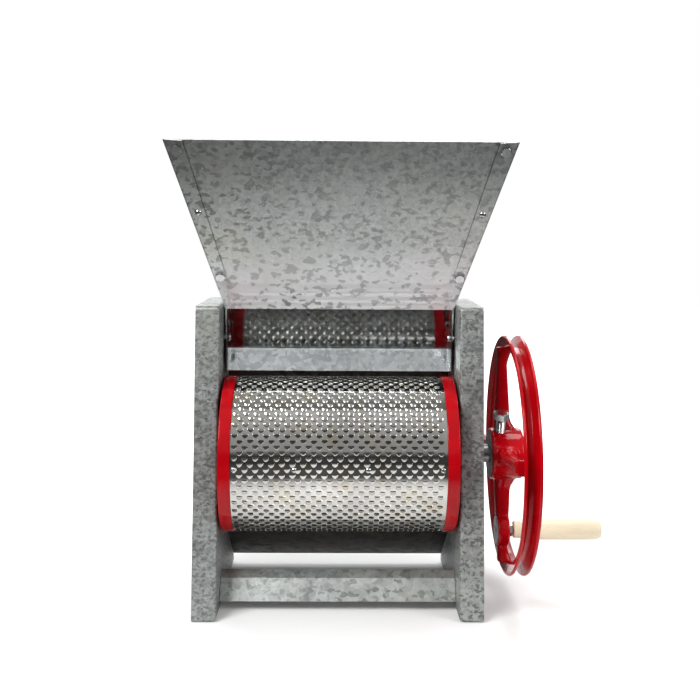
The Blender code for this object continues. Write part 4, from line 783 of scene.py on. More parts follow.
class PULPER_OT_stage(bpy.types.Operator):
    """Lay the pale floor, set the soft lights and place the camera"""
    bl_idname = "pulper.stage"
    bl_label = "Studio stage"

    def execute(self, context):
        scene = context.scene
        settings = scene.pulper_stage
        deselect()
        bpy.ops.mesh.primitive_plane_add(size=8.0, location=(0.0, 0.0, -0.0004))
        floor = named("studio_floor")
        floor.data.materials.append(self.floor_material(settings.floor))

        deselect()
        bpy.ops.object.camera_add(location=Vector(CAMERA_PLACE) + MACHINE)
        camera = bpy.context.object
        camera.name = "main_camera"
        turn = Matrix.Rotation(-CAMERA_YAW, 4, "Z") @ Matrix.Rotation(math.pi / 2.0 - CAMERA_PITCH, 4, "X")
        turn = turn @ Matrix.Rotation(CAMERA_ROLL, 4, "Z")
        camera.matrix_world = Matrix.Translation(camera.location) @ turn
        camera.data.lens = CAMERA_LENS
        camera.data.sensor_width = 36.0
        camera.data.shift_y = CAMERA_SHIFT_Y
        camera.data.clip_start = 0.05
        scene.camera = camera

        for name, place, target, size, share in LAMPS:
            soft_lamp(name, place, target, size, settings.key_power * share)
        self.sky(scene)
        scene.view_settings.view_transform = "Standard"
        return {"FINISHED"}

    def floor_material(self, colour):
        """Pale matt table: the camera sees it white, its far parts fall off dark for the rest."""
        board = Board("studio_floor")
        path = board.node("ShaderNodeLightPath", {}, {}, "Is Camera Ray")
        grain = board.noise(30.0, 3.0, 0.5)
        offset = board.place.moved((0.0, TABLE_MIDDLE_Y, 0.0)).stretched(TABLE_NARROW, 1.0, 0.0)
        reach = offset.length()
        far = reach.above(TABLE_NEAR, TABLE_FAR)
        base = board.mix(grain, tone(colour, 0.98), tone(colour, 1.01))
        shaded = board.mix(far, base, (0.05, 0.05, 0.05))
        seen = board.node("ShaderNodeBsdfDiffuse", {}, {"Color": base})
        matt = board.node("ShaderNodeBsdfDiffuse", {}, {"Color": shaded})
        strength = FLOOR_GLOW + (reach.above(FLOOR_WHITE_NEAR, FLOOR_WHITE_FAR) * (1.0 - FLOOR_GLOW))
        glow = board.node("ShaderNodeEmission", {}, {"Color": (1.0, 1.0, 1.0), "Strength": strength})
        both = board.node("ShaderNodeAddShader", {}, {0: seen, 1: glow})
        board.finish_with(board.node("ShaderNodeMixShader", {}, {0: path, 1: matt, 2: both}))
        return board.material

    def sky(self, scene):
        """Even white for the camera; a darker room with a pale far wall for what is lit by it."""
        world = bpy.data.worlds.new("soft_room")
        world.use_nodes = True
        scene.world = world
        world.node_tree.nodes.clear()
        board = Board.__new__(Board)
        board.tree = world.node_tree
        place = board.node("ShaderNodeTexCoord", {}, {}, "Generated")
        height = (place.part("Z") * 0.5) + 0.5
        front, rear = (board.node("ShaderNodeValToRGB", {"stops": stops}, {"Fac": height})
                       for stops in (ROOM_FRONT, ROOM_REAR))
        room = board.mix(place.part("Y").above(-0.10, 0.45), front, rear)
        camera_ray = board.node("ShaderNodeLightPath", {}, {}, "Is Camera Ray")
        seen = board.mix(camera_ray, room, (1.0, 1.0, 1.0))
        back = board.node("ShaderNodeBackground", {}, {"Color": seen, "Strength": 1.0})
        end = board.tree.nodes.new("ShaderNodeOutputWorld")
        board.tree.links.new(back.socket, end.inputs["Surface"])


# ------------------------------------------------------------------ frame and plates
class PULPER_OT_frame_sheets(bpy.types.Operator):
    """Finish the two folded side frames and the plates between them"""
    bl_idname = "pulper.frame_sheets"
    bl_label = "Frame sheets"

    def execute(self, context):
        finish_nodes("frame_zinc", 0.0004, "side_frame_left", "side_frame_right")
        finish_nodes("cross_zinc", 0.0003, "front_cross_plate")
        # The chute and throat plate are near-black: stains and painted shade.
        finish_nodes("stain_and_shade_zinc", 0.0003, "bean_chute", "rear_throat_plate")
        return {"FINISHED"}


# ------------------------------------------------------------------ hopper
def hopper_point(side, end, height, side_inset=0.0, end_inset=0.0):
    """A point on a hopper corner; side and end are -1 or +1 and insets move inwards along the wall's normal."""
    side_slope = HOPPER_SIDE_FLARE / HOPPER_HEIGHT
    end_slope = HOPPER_END_FLARE / HOPPER_HEIGHT
    half_x = HOPPER_BASE_HALF_X + height * side_slope - side_inset * math.hypot(1.0, side_slope)
    half_y = HOPPER_BASE_HALF_Y + height * end_slope - end_inset * math.hypot(1.0, end_slope)
    return Vector((side * half_x, FRAME_CENTRE_Y + end * half_y, HOPPER_BASE_Z + height))


def lap_width(height, top_lap):
    """Width of the lap on the end wall at a height above the hopper's base."""
    if height <= LAP_KINK_HEIGHT:
        return LAP_BASE + (LAP_KINK - LAP_BASE) * height / LAP_KINK_HEIGHT
    share = (height - LAP_KINK_HEIGHT) / (HOPPER_HEIGHT - LAP_KINK_HEIGHT)
    return LAP_KINK + (top_lap - LAP_KINK) * share


def end_normal(end):
    """Outward normal of an end wall."""
    return Vector((0.0, end, -HOPPER_END_FLARE / HOPPER_HEIGHT)).normalized()


def hopper_side(name, side, settings):
    """Side wall with its skirt and the laps which fold round on to the end walls."""
    thick = settings.thickness
    corners = [hopper_point(side, -1, 0.0), hopper_point(side, 1, 0.0),
               hopper_point(side, 1, HOPPER_HEIGHT), hopper_point(side, -1, HOPPER_HEIGHT)]
    piece = flat_sheet(name, corners)
    heights = sorted({LAP_KINK_HEIGHT, *(HOPPER_HEIGHT * step / HOPPER_STEPS for step in range(HOPPER_STEPS + 1))})
    for height in heights[1:-1]:
        cut_along((0.0, 0.0, HOPPER_BASE_Z + height), (0.0, 0.0, 1.0))

    def to_lap(place):
        width = lap_width(place.z - HOPPER_BASE_Z, settings.lap)
        return Vector((place.x - side * width, place.y, min(place.z, HOPPER_BASE_Z + HOPPER_HEIGHT - LAP_DROP)))

    for end in (-1, 1):
        def at_corner(vert, end=end):
            height = vert.co.z - HOPPER_BASE_Z
            corner_y = HOPPER_BASE_HALF_Y + height * HOPPER_END_FLARE / HOPPER_HEIGHT
            return abs(vert.co.y - FRAME_CENTRE_Y - end * corner_y) < NEAR

        pull_edges(piece, lambda edge: all(at_corner(vert) for vert in edge.verts), to_lap)

    def at_base(vert):
        return vert.co.z < HOPPER_BASE_Z + NEAR and abs(abs(vert.co.x) - HOPPER_BASE_HALF_X) < NEAR

    def at_bend(vert):
        return abs(vert.co.z - HOPPER_BASE_Z + SKIRT_BEND_DROP) < NEAR

    def skirt_place(place, half_y, drop):
        end = 1.0 if place.y > FRAME_CENTRE_Y else -1.0
        return Vector((side * (SKIRT_INNER_X + thick), FRAME_CENTRE_Y + end * half_y, HOPPER_BASE_Z - drop))

    pull_edges(piece, lambda edge: all(at_base(vert) for vert in edge.verts),
               lambda place: skirt_place(place, HOPPER_BASE_HALF_Y - SKIRT_BEND_INSET, SKIRT_BEND_DROP))
    pull_edges(piece, lambda edge: all(at_bend(vert) for vert in edge.verts),
               lambda place: skirt_place(place, SKIRT_HALF_Y, SKIRT_DEPTH))
    bpy.ops.mesh.select_all(action="SELECT")
    bpy.ops.mesh.normals_make_consistent(inside=False)
    mesh = bmesh.from_edit_mesh(piece.data)
    wall = max(mesh.faces, key=lambda face: face.calc_area())
    if wall.normal.x * side < 0.0:
        bpy.ops.mesh.flip_normals()
    fold_edges(piece, sharp_fold, settings.fold)
    return thicken(piece, thick)


def hopper_end(name, end, settings):
    """End wall, a touch wavy, with the shallow press marks near its foot."""
    inset = settings.thickness + GAP
    piece = flat_sheet(name, [hopper_point(side, end, height, inset, inset)
                              for side, height in ((-1, 0.0), (1, 0.0), (1, HOPPER_HEIGHT), (-1, HOPPER_HEIGHT))])
    cuts = [mark + step for mark in PRESS_MARKS for step in (-0.0007, 0.0, 0.0007)]
    cuts += [0.0400 + 0.0135 * step for step in range(10)]
    for height in cuts:
        cut_along((0.0, 0.0, HOPPER_BASE_Z + height), (0.0, 0.0, 1.0))
    for step in range(-11, 12):
        cut_along((step * 0.0145, 0.0, 0.0), (1.0, 0.0, 0.0))
    normal = end_normal(end)
    mesh = bmesh.from_edit_mesh(piece.data)
    for vert in mesh.verts:
        height = vert.co.z - HOPPER_BASE_Z
        reach = abs(vert.co.x) / (HOPPER_BASE_HALF_X + height * HOPPER_SIDE_FLARE / HOPPER_HEIGHT)
        inwards = max(0.0, 1.0 - reach ** 4)
        wave = 0.00016 * math.sin(vert.co.x * 41.0 + 0.7) * math.sin(vert.co.z * 57.0 + end)
        wave += 0.00009 * math.sin(vert.co.x * 97.0 - vert.co.z * 73.0)
        depth = wave * inwards - 0.00012
        for mark, deep in PRESS_MARKS.items():
            if abs(height - mark) < 2e-4:
                depth += deep * (0.7 + 0.3 * math.sin(vert.co.x * 60.0 + mark * 900.0))
        if 1e-4 < height < HOPPER_HEIGHT - 1e-4 and reach < 0.985:
            vert.co += normal * depth
    wall = max(mesh.faces, key=lambda face: face.calc_area())
    flip = wall.normal.dot(normal) < 0.0
    bmesh.update_edit_mesh(piece.data)
    if flip:
        bpy.ops.mesh.select_all(action="SELECT")
        bpy.ops.mesh.flip_normals()
    return thicken(piece, settings.thickness)


class PULPER_OT_hopper(bpy.types.Operator):
    """Fold the four hopper walls with their laps and skirts"""
    bl_idname = "pulper.hopper"
    bl_label = "Hopper"

    def execute(self, context):
        settings = context.scene.pulper_sheet
        for word, side in SIDES:
            node = "hopper_side_" + word
            stand_in(hopper_side(node + "_finish", side, settings), "galvanised", node)
        for word, end in (("front", -1), ("rear", 1)):
            node = "hopper_" + word
            stand_in(hopper_end(node + "_finish", end, settings), "galvanised", node)
        return {"FINISHED"}


# ------------------------------------------------------------------ fasteners
def hex_prism(name, across, depth):
    """Six-sided prism along X with its middle at the origin, and the radius of its corners."""
    corner = across / math.sqrt(3.0)
    deselect()
    bpy.ops.mesh.primitive_cylinder_add(vertices=6, radius=corner, depth=depth, rotation=(0.0, math.pi / 2.0, 0.0))
    piece = named(name)
    apply_placing()
    return piece, corner


def hex_bolt(name, across, head, shank_radius, shank, pitch):
    """Chamfered six-sided head on X below zero and a threaded shank above it."""
    piece, corner = hex_prism(name, across, head)
    move_mesh(piece, (-head / 2.0, 0.0, 0.0))
    dome = turned("dome", [(-head - 1e-4, 0.0), (-head - 1e-4, across * 0.47), (-head * 0.80, corner * 1.02),
                           (-head * 0.06, corner * 1.02), (1e-4, across * 0.49), (1e-4, 0.0)], 32)
    carve(piece, dome, "INTERSECT")
    carve(piece, threaded_rod("shank", -head * 0.4, shank, shank_radius, pitch), "UNION")
    return piece


def threaded_rod(name, start, end, radius, pitch):
    """Rod along X, plain up to zero and threaded above it."""
    profile = [(start, 0.0), (start, radius), (pitch * 0.4, radius)]
    depth = pitch * 0.45
    along = pitch
    while along + pitch < end - pitch * 0.5:
        profile += [(along, radius), (along + pitch * 0.45, radius - depth)]
        along += pitch
    profile += [(end - pitch * 0.6, radius), (end, radius - depth * 1.2), (end, 0.0)]
    return turned(name, profile, 24)


def round_rivet(name, shank, radius, head_radius, head):
    """Low domed rivet head on X below zero with its shank above."""
    profile = [(-head, 0.0), (-head * 0.97, head_radius * 0.30), (-head * 0.80, head_radius * 0.62),
               (-head * 0.45, head_radius * 0.90), (-head * 0.12, head_radius), (0.0, head_radius * 0.97),
               (0.0, radius), (shank, radius), (shank, 0.0)]
    return turned(name, profile, 28)


def hopper_fastener_frame(side, end, height, top_lap):
    """Place on the outside of a lap and the outward normal there."""
    point = hopper_point(side, end, height)
    point.x -= side * FASTENER_SHARE * lap_width(height, top_lap)
    return point, end_normal(end)


def matching_node(prefix, place):
    """The CAD node of that kind whose middle is nearest to place."""
    def far(node):
        low, high = in_machine(node)
        return ((low + high) / 2.0 - place).length
    return min((node for node in BODY_OF if node.startswith(prefix)), key=far)


def box_tool(node):
    """A cutting block larger than a CAD node's box by a gap on each side."""
    low, high = in_machine(node)
    return block((low + high) / 2.0, (high - low) + Vector((2.0 * GAP, 2.0 * GAP, 2.0 * GAP)))


class PULPER_OT_hopper_fasteners(bpy.types.Operator):
    """Put the bolts and rivets in the hopper laps and skirts"""
    bl_idname = "pulper.hopper_fasteners"
    bl_label = "Hopper fasteners"

    def execute(self, context):
        settings = context.scene.pulper_sheet
        bolt = hex_bolt("hopper_bolt", 0.0100, 0.0040, 0.0030, 0.0066, 0.0010)
        rivet = round_rivet("hopper_rivet", 0.0034, 0.0016, 0.0034, RIVET_HEAD)
        roll = 0.3
        for end in (-1, 1):
            for side in (-1, 1):
                for height in BOLT_HEIGHTS:
                    roll += 0.7
                    self.fit(bolt, "hopper_bolt_", side, end, height, settings.lap, roll)
                self.fit(rivet, "hopper_rivet_", side, end, RIVET_HEIGHT, settings.lap, roll)
        for word, side in SIDES:
            node = "skirt_rivet_" + word
            low, high = in_machine(node)
            piece = copy_of(rivet, node + "_finish")
            head_x = high.x - RIVET_HEAD if side > 0 else low.x + RIVET_HEAD
            aim(piece, (head_x, (low.y + high.y) / 2.0, (low.z + high.z) / 2.0), (-side, 0.0, 0.0))
            stand_in(piece, "zinc_plated", node)
        for spare in (bolt, rivet):
            bpy.data.objects.remove(spare)
        return {"FINISHED"}

    def fit(self, master, prefix, side, end, height, lap, roll):
        place, normal = hopper_fastener_frame(side, end, height, lap)
        node = matching_node(prefix, place)
        piece = copy_of(master, node + "_finish")
        aim(piece, place + normal * GAP, -normal, roll)
        stand_in(piece, "zinc_plated", node)


# ------------------------------------------------------------------ guide plate
class PULPER_OT_guide_plate(bpy.types.Operator):
    """Finish the bright guide plate over the drum and its screws"""
    bl_idname = "pulper.guide_plate"
    bl_label = "Guide plate"

    def execute(self, context):
        finish_nodes("bright_galvanised", 0.0003, "guide_plate")
        finish_nodes("zinc_plated", 0.0003, "guide_screw_left", "guide_screw_right")
        return {"FINISHED"}


# ------------------------------------------------------------------ drum
class PULPER_OT_drum(bpy.types.Operator):
    """Roll the punched skin, turn the red drum ends and fit the core and seam screws"""
    bl_idname = "pulper.drum"
    bl_label = "Drum"

    def execute(self, context):
        settings = context.scene.pulper_drum
        self.skin(settings)
        for word, side in SIDES:
            stand_in(self.drum_end(word, side), "red_enamel", "drum_end_" + word)
        for number, along in enumerate(SEAM_SCREW_X, 1):
            node = "seam_screw_%d" % number
            piece = round_rivet(node + "_finish", 0.0040, 0.0013, 0.0026, SEAM_HEAD)
            carve(piece, block((-SEAM_HEAD, 0.0, 0.0), (SEAM_HEAD, 0.0008, 0.0070)))
            aim(piece, (along, in_machine(node)[0].y + SEAM_HEAD, AXIS_Z), (0.0, 1.0, 0.0), 0.6 * number)
            stand_in(piece, "zinc_plated", node)
        finish_nodes("core_wood", 0.0006, "drum_core")
        return {"FINISHED"}

    def skin(self, settings):
        """Shell of the skin with every tooth standing on it."""
        low, high = in_machine("drum_skin")
        outer, inner = DRUM_SKIN_RADIUS, DRUM_SKIN_RADIUS - DRUM_SKIN_THICK
        shell = turned("drum_skin_finish", [(low.x, inner), (low.x, outer), (high.x, outer), (high.x, inner)],
                       176, closed=True)
        self.skin_looks(shell.data)
        join(shell, self.scatter(self.tooth(), settings, low.x, high.x))
        move_mesh(shell, (0.0, 0.0, AXIS_Z))
        stand_in(shell, "punched_skin", "drum_skin", smooth=40.0)

    def skin_looks(self, mesh):
        for name in ("punched_skin", "slit_shadow"):
            mesh.materials.append(finish(name))

    def tooth(self):
        """Ramp that rises to a half-moon end, which is cut off flat, with a shallow inset on the cut end painted
        near-black as the shadow of the slit.
        """
        deselect()
        bpy.ops.mesh.primitive_uv_sphere_add(segments=12, ring_count=8, radius=1.0)
        piece = named("tooth")
        self.skin_looks(piece.data)
        for vert in piece.data.vertices:
            vert.co.z = math.copysign(abs(vert.co.z) ** 0.6, vert.co.z)
        bpy.ops.object.mode_set(mode="EDIT")
        cut_along((0.0, 0.0, 0.0), (0.0, 0.0, 1.0), clear_inner=True, use_fill=True)
        cut_along((0.0, TOOTH_CUT_AT, 0.0), TOOTH_CUT, clear_outer=True, use_fill=True)
        cut = Vector(TOOTH_CUT).normalized()
        pick(piece, "FACE", lambda face: face.normal.dot(cut) > 0.97)
        bpy.ops.mesh.inset(thickness=0.07, depth=-0.05)
        hole = [face.index for face in bmesh.from_edit_mesh(piece.data).faces if face.select]
        bpy.ops.object.mode_set(mode="OBJECT")
        for vert in piece.data.vertices:
            ramp = min(1.0, max(0.0, (vert.co.y + 1.0) / (1.0 + TOOTH_CUT_AT)))
            vert.co.z *= 0.22 + 0.78 * ramp ** 0.8
            vert.co.x *= 0.78 + 0.22 * ramp
        # The inset faces take the near-black painted shadow of the slit.
        for index in hole:
            piece.data.polygons[index].material_index = 1
        return piece

    def scatter(self, tooth, settings, low_x, high_x):
        """One mesh of all the teeth, each a copy of the first turned to its place on the skin."""
        half_width = settings.tooth_width / 2.0
        row_pitch = math.tau / settings.rows
        depth = DRUM_SKIN_RADIUS * row_pitch * TOOTH_LENGTH
        points = [vert.co.copy() for vert in tooth.data.vertices]
        faces = [tuple(face.vertices) for face in tooth.data.polygons]
        kinds = [face.material_index for face in tooth.data.polygons]
        verts, polygons, materials = [], [], []
        for row in range(settings.rows):
            turn = Matrix.Rotation(row * row_pitch, 3, "X")
            shift = settings.column_pitch * 0.5 * (row % 2)
            along = low_x + SKIN_MARGIN + shift
            while along < high_x - SKIN_MARGIN:
                start = len(verts)
                wobble = math.sin(row * 12.9898 + along * 7823.3)
                tall = settings.tooth_height * (1.0 + TOOTH_UNEVEN * wobble)
                for point in points:
                    local = Vector((along + point.x * half_width, point.y * depth + 0.0004 * wobble,
                                    DRUM_SKIN_RADIUS - TOOTH_SINK + point.z * (tall + TOOTH_SINK)))
                    verts.append(turn @ local)
                polygons += [tuple(start + index for index in face) for face in faces]
                materials += kinds
                along += settings.column_pitch
        mesh = bpy.data.meshes.new("teeth")
        mesh.from_pydata(verts, [], polygons)
        mesh.update()
        self.skin_looks(mesh)
        for face, kind in zip(mesh.polygons, materials):
            face.material_index = kind
        piece = bpy.data.objects.new("teeth", mesh)
        bpy.context.scene.collection.objects.link(piece)
        bpy.data.objects.remove(tooth)
        return piece

    def drum_end(self, word, side):
        """Cast end: rounded outer ring, thin disc and hub, all bored for the shaft."""
        outer_x, inner_x = DRUM_RING_OUTER_X, DRUM_RING_OUTER_X - DRUM_RING_WIDTH
        hub_x, bore, hub = in_machine("drum_end_right")[0].x, SHAFT_RADIUS + GAP, 0.0240
        ring, rim, edge = DRUM_RING_RADIUS, DRUM_RING_RADIUS - 0.0080, 0.0012
        disc_x = inner_x + 0.0060
        profile = [(disc_x - 0.0006, bore), (disc_x, bore + 0.0006), (disc_x, rim - 0.0032)]
        profile += arc((disc_x + 0.0030, rim - 0.0030), 0.0030, 180.0, 90.0)
        profile += arc((outer_x - edge, rim + edge), edge, -90.0, 0.0)[1:]
        profile += arc((outer_x - edge, ring - edge), edge, 0.0, 90.0)
        profile += arc((inner_x + 0.0006, ring - 0.0006), 0.0006, 90.0, 180.0)
        profile += [(inner_x, hub), (hub_x + 0.0010, hub), (hub_x, hub - 0.0010), (hub_x, bore)]
        if side < 0:
            profile = [(-along, radius) for along, radius in reversed(profile)]
        body = turned("drum_end_" + word + "_finish", profile, 144, closed=True)
        move_mesh(body, (0.0, 0.0, AXIS_Z))
        return carve(body, box_tool("drum_key_" + word))


# ------------------------------------------------------------------ hand wheel
ALONG_X = (1.0, 0.0, 0.0)


def crank_place(x):
    """The crank bolt's axis at X, in machine places."""
    return Vector((x, CRANK_RADIUS * math.sin(WHEEL_TURN), AXIS_Z - CRANK_RADIUS * math.cos(WHEEL_TURN)))


def rod_between(name, start, direction, length, radius, steps=48):
    """Plain rod used to cut a hole or to fuse a boss."""
    return aim(turned(name, [(0.0, 0.0), (0.0, radius), (length, radius), (length, 0.0)], steps), start, direction)


def spoke_section(reach):
    """(centre X, half thickness, half width) of a spoke at a distance from the axis."""
    share = min(1.0, max(0.0, (reach - 0.0400) / 0.0605))
    flare = 0.0030 * max(0.0, min(1.0, 1.0 - (reach - 0.0285) / 0.0115)) ** 2
    foot = 0.0030 * max(0.0, (reach - 0.0985) / 0.0190) ** 2
    return (SPOKE_X + flare + foot, 0.0086 - 0.0030 * share + flare + foot,
            0.0068 - 0.0013 * share + flare * 0.9 + foot * 1.1)


def spoke(angle):
    """A tapered spoke with square shoulders, drawn out from the hub section by section."""
    deselect()
    bpy.ops.mesh.primitive_circle_add(vertices=SPOKE_SIDES, radius=1.0, fill_type="NGON")
    piece = named("spoke")

    def shoulder(part):
        return math.copysign(abs(part) ** 0.6, part)

    centre, half_t, half_w = spoke_section(SPOKE_START)
    for vert in piece.data.vertices:
        vert.co = (centre + half_t * shoulder(vert.co.x), half_w * shoulder(vert.co.y), SPOKE_START)
    bpy.ops.object.mode_set(mode="EDIT")
    bpy.ops.mesh.select_all(action="SELECT")
    last = (centre, half_t, half_w)
    for step in range(1, SPOKE_STEPS + 1):
        reach = SPOKE_START + (SPOKE_END - SPOKE_START) * step / SPOKE_STEPS
        centre, half_t, half_w = spoke_section(reach)

        def next_section(place, last=last, centre=centre, half_t=half_t, half_w=half_w, reach=reach):
            return Vector((centre + (place.x - last[0]) / last[1] * half_t, place.y / last[2] * half_w, reach))

        bpy.ops.mesh.extrude_region_move(TRANSFORM_OT_translate={"value": (0.0, 0.0, 0.0)})
        place_selected(piece, next_section)
        last = (centre, half_t, half_w)
    bpy.ops.mesh.select_all(action="SELECT")
    bpy.ops.mesh.normals_make_consistent(inside=False)
    bpy.ops.object.mode_set(mode="OBJECT")
    piece.data.transform(Matrix.Rotation(angle, 4, "X"))
    return piece


def rim_profile():
    """Closed (X, radius) loop of the V-grooved rim with rounded crests."""
    half, wall, floor_half = 0.0076, 0.0017, 0.0036
    bottom, under = WHEEL_RADIUS - 0.0115, WHEEL_RADIUS - 0.0155
    right = [(floor_half * 0.35, bottom - 0.0003), (floor_half * 0.75, bottom + 0.0001),
             (floor_half + 0.0003, bottom + 0.0020), (half - wall, WHEEL_RADIUS - 0.0022)]
    right += arc((half + 0.0001, WHEEL_RADIUS - 0.0018), 0.0018, 165.0, 15.0, 6)
    right += [(half + wall + 0.0001, WHEEL_RADIUS - 0.0030), (floor_half + 0.0036, bottom - 0.0002),
              (floor_half + 0.0030, bottom - 0.0014)]
    right += [(floor_half + 0.0012, under + 0.0007), (floor_half - 0.0006, under)]
    left = [(-along, radius) for along, radius in reversed(right)]
    return [(WHEEL_CENTRE_X + along, radius) for along, radius in right + left]


class PULPER_OT_hand_wheel(bpy.types.Operator):
    """Cast the four-spoke hand wheel with its V rim, hub and crank boss"""
    bl_idname = "pulper.hand_wheel"
    bl_label = "Hand wheel"

    def execute(self, context):
        settings = context.scene.pulper_wheel
        near, far = WHEEL_HUB_X, WHEEL_HUB_X + WHEEL_HUB_LENGTH
        hub = turned("hand_wheel_finish",
                     [(near, 0.0), (near, WHEEL_HUB_RADIUS - 0.0012), (near + 0.0012, WHEEL_HUB_RADIUS),
                      (far - 0.0012, WHEEL_HUB_RADIUS), (far, WHEEL_HUB_RADIUS - 0.0012), (far, 0.0)], 96)
        for number in range(4):
            carve(hub, spoke(WHEEL_TURN + math.pi / 2.0 * number), "UNION")
        boss_half = spoke_section(CRANK_RADIUS)[1] + 0.0003
        boss_start = crank_place(SPOKE_X - boss_half) - Vector((0.0, 0.0, AXIS_Z))
        carve(hub, rod_between("boss", boss_start, ALONG_X, 2.0 * boss_half, CRANK_BOSS_RADIUS, 64), "UNION")
        modify(hub, "REMESH", mode="VOXEL", voxel_size=settings.grain, adaptivity=0.0, use_smooth_shade=True)
        modify(hub, "SMOOTH", factor=0.5, iterations=5)
        rim = turned("rim", rim_profile(), 192, closed=True)
        carve(hub, rim, "UNION")
        move_mesh(hub, (0.0, 0.0, AXIS_Z))
        axis = Vector((near - 0.002, 0.0, AXIS_Z))
        tools = [rod_between("bore", axis, ALONG_X, WHEEL_HUB_LENGTH + 0.004, SHAFT_RADIUS + GAP, 64),
                 rod_between("bolt_hole", crank_place(near), ALONG_X, WHEEL_HUB_LENGTH, CRANK_BORE, 40),
                 rod_between("set_hole", set_bolt_place(SHAFT_RADIUS * 0.5), set_bolt_direction(),
                             WHEEL_HUB_RADIUS * 1.4, 0.0053, 40)]
        for tool in tools:
            carve(hub, tool)
        carve(hub, box_tool("wheel_key"))
        stand_in(hub, "wheel_enamel", "hand_wheel", smooth=50.0)
        return {"FINISHED"}


def set_bolt_direction():
    return Vector((0.0, -math.sin(SET_BOLT_TILT), math.cos(SET_BOLT_TILT)))


def set_bolt_place(reach):
    return Vector((SET_BOLT_X, 0.0, AXIS_Z)) + set_bolt_direction() * reach


class PULPER_OT_wheel_fasteners(bpy.types.Operator):
    """Fit the set bolt, the crank bolt and its lock nut"""
    bl_idname = "pulper.wheel_fasteners"
    bl_label = "Wheel fasteners"

    def execute(self, context):
        self.set_bolt()
        self.crank_bolt()
        self.crank_nut()
        return {"FINISHED"}

    def set_bolt(self):
        tip = SHAFT_RADIUS - 0.0012 + GAP
        shank = WHEEL_HUB_RADIUS + 0.0152 - tip
        bolt = hex_bolt("wheel_set_bolt_finish", 0.0160, 0.0070, 0.0050, shank, 0.0015)
        aim(bolt, set_bolt_place(tip + shank), -set_bolt_direction(), 0.35)
        stand_in(bolt, "zinc_plated", "wheel_set_bolt")

    def crank_bolt(self):
        low, high = in_machine("crank_bolt")
        head_x = high.x - 0.0040
        radius, pitch = 0.0040, 0.00125
        profile = [(low.x, 0.0), (low.x, radius - 0.0007)]
        along = low.x + 0.0006
        while along < CRANK_THREAD_END:
            profile += [(along, radius), (along + pitch * 0.5, radius - 0.00055)]
            along += pitch
        profile += [(along, radius), (head_x, radius), (head_x, 0.0061), (head_x + 0.0004, 0.0064),
                    (high.x - 0.0007, 0.0064), (high.x, 0.0057), (high.x, 0.0)]
        piece = turned("crank_bolt_finish", profile, 48)
        carve(piece, block((high.x, 0.0, 0.0), (0.0030, 0.0150, 0.0014)))
        move_mesh(piece, crank_place(0.0))
        stand_in(piece, "zinc_plated", "crank_bolt")

    def crank_nut(self):
        low, high = in_machine("crank_nut")
        across, thick = 0.0130, high.x - low.x
        nut, corner = hex_prism("crank_nut_finish", across, thick)
        inner, outer = across * 0.48, corner * 1.02
        bevelled = [(-thick / 2.0 - 1e-4, 0.0), (-thick / 2.0 - 1e-4, inner), (-thick * 0.30, outer),
                    (thick * 0.30, outer), (thick / 2.0 + 1e-4, inner), (thick / 2.0 + 1e-4, 0.0)]
        carve(nut, turned("dome", bevelled, 32), "INTERSECT")
        carve(nut, rod_between("hole", (-thick, 0.0, 0.0), ALONG_X, thick * 2.0, CRANK_BORE, 32))
        aim(nut, crank_place((low.x + high.x) / 2.0), ALONG_X, 0.2)
        stand_in(nut, "zinc_plated", "crank_nut")


# ------------------------------------------------------------------ grip
def smooth_profile(points, parts=5):
    """The same profile with rounded runs between its points."""
    result = [points[0]]
    for index in range(len(points) - 1):
        before = points[max(0, index - 1)]
        first, second = points[index], points[index + 1]
        after = points[min(len(points) - 1, index + 2)]
        for part in range(1, parts + 1):
            t = part / parts
            along = first[0] + (second[0] - first[0]) * t
            lean_1 = (second[1] - before[1]) / max(1e-9, second[0] - before[0]) * (second[0] - first[0])
            lean_2 = (after[1] - first[1]) / max(1e-9, after[0] - first[0]) * (second[0] - first[0])
            radius = ((2 * t ** 3 - 3 * t ** 2 + 1) * first[1] + (t ** 3 - 2 * t ** 2 + t) * lean_1
                      + (3 * t ** 2 - 2 * t ** 3) * second[1] + (t ** 3 - t ** 2) * lean_2)
            result.append((along, radius))
    return result


class PULPER_OT_grip(bpy.types.Operator):
    """Turn the pale wooden grip that spins on the crank bolt"""
    bl_idname = "pulper.grip"
    bl_label = "Grip"

    def execute(self, context):
        settings = context.scene.pulper_grip
        low, high = in_machine("crank_grip")
        length = high.x - low.x
        scale = settings.radius / GRIP_RADIUS
        outline = [(0.0, 0.0084), (0.0006, 0.0090), (0.0080, 0.0090), (0.0100, 0.0074), (0.0130, 0.0066),
                   (0.0180, 0.0078), (0.0240, 0.0097), (0.0290, 0.0107), (0.0400, GRIP_RADIUS), (0.0620, GRIP_RADIUS),
                   (0.0842, 0.0108), (0.0922, 0.0101), (0.0950, 0.0091), (length, 0.0081)]
        outer = smooth_profile(outline[:2], 2) + smooth_profile(outline[2:])
        profile = [(along, min(radius, GRIP_RADIUS) * scale) for along, radius in outer]
        profile += [(length, 0.0070), (length - 0.0070, 0.0070), (length - 0.0070, CRANK_BORE), (0.0, CRANK_BORE)]
        piece = turned("crank_grip_finish", profile, 72, closed=True)
        move_mesh(piece, crank_place(low.x))
        stand_in(piece, "beech", "crank_grip", smooth=28.0)
        return {"FINISHED"}


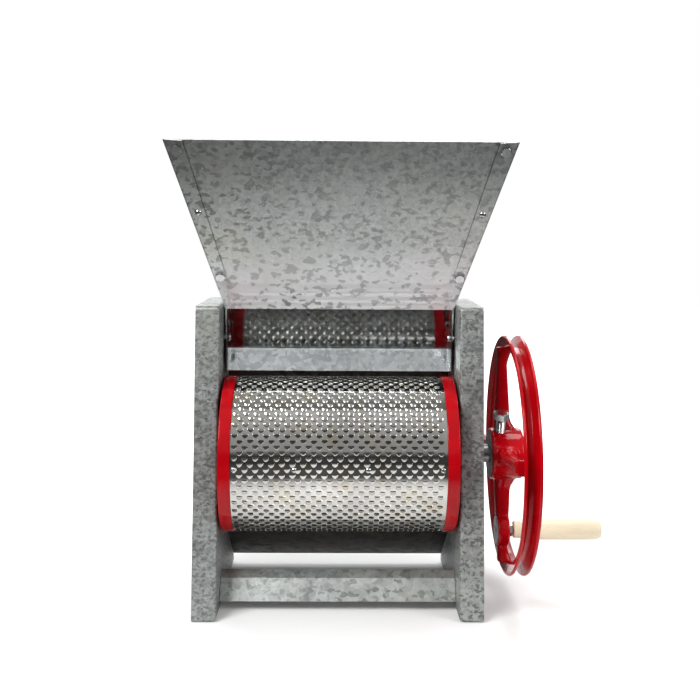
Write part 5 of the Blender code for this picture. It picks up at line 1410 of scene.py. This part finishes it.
# ------------------------------------------------------------------ shaft, bearings and outlet adjusters
class PULPER_OT_drive_line(bpy.types.Operator):
    """Finish the shaft, its bearings, keys and collar"""
    bl_idname = "pulper.drive_line"
    bl_label = "Shaft and bearings"

    def execute(self, context):
        for word in ("left", "right"):
            finish_nodes("cast_iron", 0.0007, "bearing_" + word, segments=3)
            finish_nodes("zinc_plated", 0.0004, *("bearing_screw_%s_%d" % (word, number) for number in (1, 2)))
            finish_nodes("turned_steel", 0.0003, "drum_key_" + word)
        finish_nodes("turned_steel", 0.0005, "drive_shaft")
        finish_nodes("turned_steel", 0.0006, "shaft_collar", segments=3)
        finish_nodes("zinc_plated", 0.0002, "shaft_collar_screw")
        finish_nodes("turned_steel", 0.0003, "wheel_key")
        return {"FINISHED"}


class PULPER_OT_outlet(bpy.types.Operator):
    """Finish the breast plate, its bar and the two adjusters"""
    bl_idname = "pulper.outlet"
    bl_label = "Breast and adjusters"

    def execute(self, context):
        finish_nodes("cast_iron", 0.0006, "breast_plate", segments=3)
        finish_nodes("turned_steel", 0.0004, "adjuster_bar")
        for word in ("left", "right"):
            finish_nodes("zinc_plated", 0.0003, "adjuster_screw_" + word)
            finish_nodes("turned_steel", 0.0004, "adjuster_collar_" + word)
        return {"FINISHED"}


# ------------------------------------------------------------------ add-on
STEPS = (PULPER_OT_stage, PULPER_OT_frame_sheets, PULPER_OT_hopper, PULPER_OT_hopper_fasteners,
         PULPER_OT_guide_plate, PULPER_OT_drum, PULPER_OT_hand_wheel, PULPER_OT_wheel_fasteners,
         PULPER_OT_grip, PULPER_OT_drive_line, PULPER_OT_outlet)


class PULPER_PT_pieces(bpy.types.Panel):
    """Lists the steps that build the finished pulper"""
    bl_label = "Pulper"
    bl_idname = "PULPER_PT_pieces"
    bl_space_type = "VIEW_3D"
    bl_region_type = "UI"
    bl_category = "Pulper"

    def draw(self, context):
        for step in STEPS:
            self.layout.operator(step.bl_idname)


SETTINGS = {"pulper_sheet": SheetSettings, "pulper_drum": DrumSettings, "pulper_wheel": WheelSettings,
            "pulper_grip": GripSettings, "pulper_stage": StageSettings}


def register():
    for kind in (*SETTINGS.values(), *STEPS, PULPER_PT_pieces):
        bpy.utils.register_class(kind)
    for name, kind in SETTINGS.items():
        setattr(bpy.types.Scene, name, bpy.props.PointerProperty(type=kind))


def unregister():
    for name in SETTINGS:
        delattr(bpy.types.Scene, name)
    for kind in reversed((*SETTINGS.values(), *STEPS, PULPER_PT_pieces)):
        bpy.utils.unregister_class(kind)


def main():
    register()
    for step in STEPS:
        family, name = step.bl_idname.split(".")
        getattr(getattr(bpy.ops, family), name)()


if __name__ == "__main__":
    main()
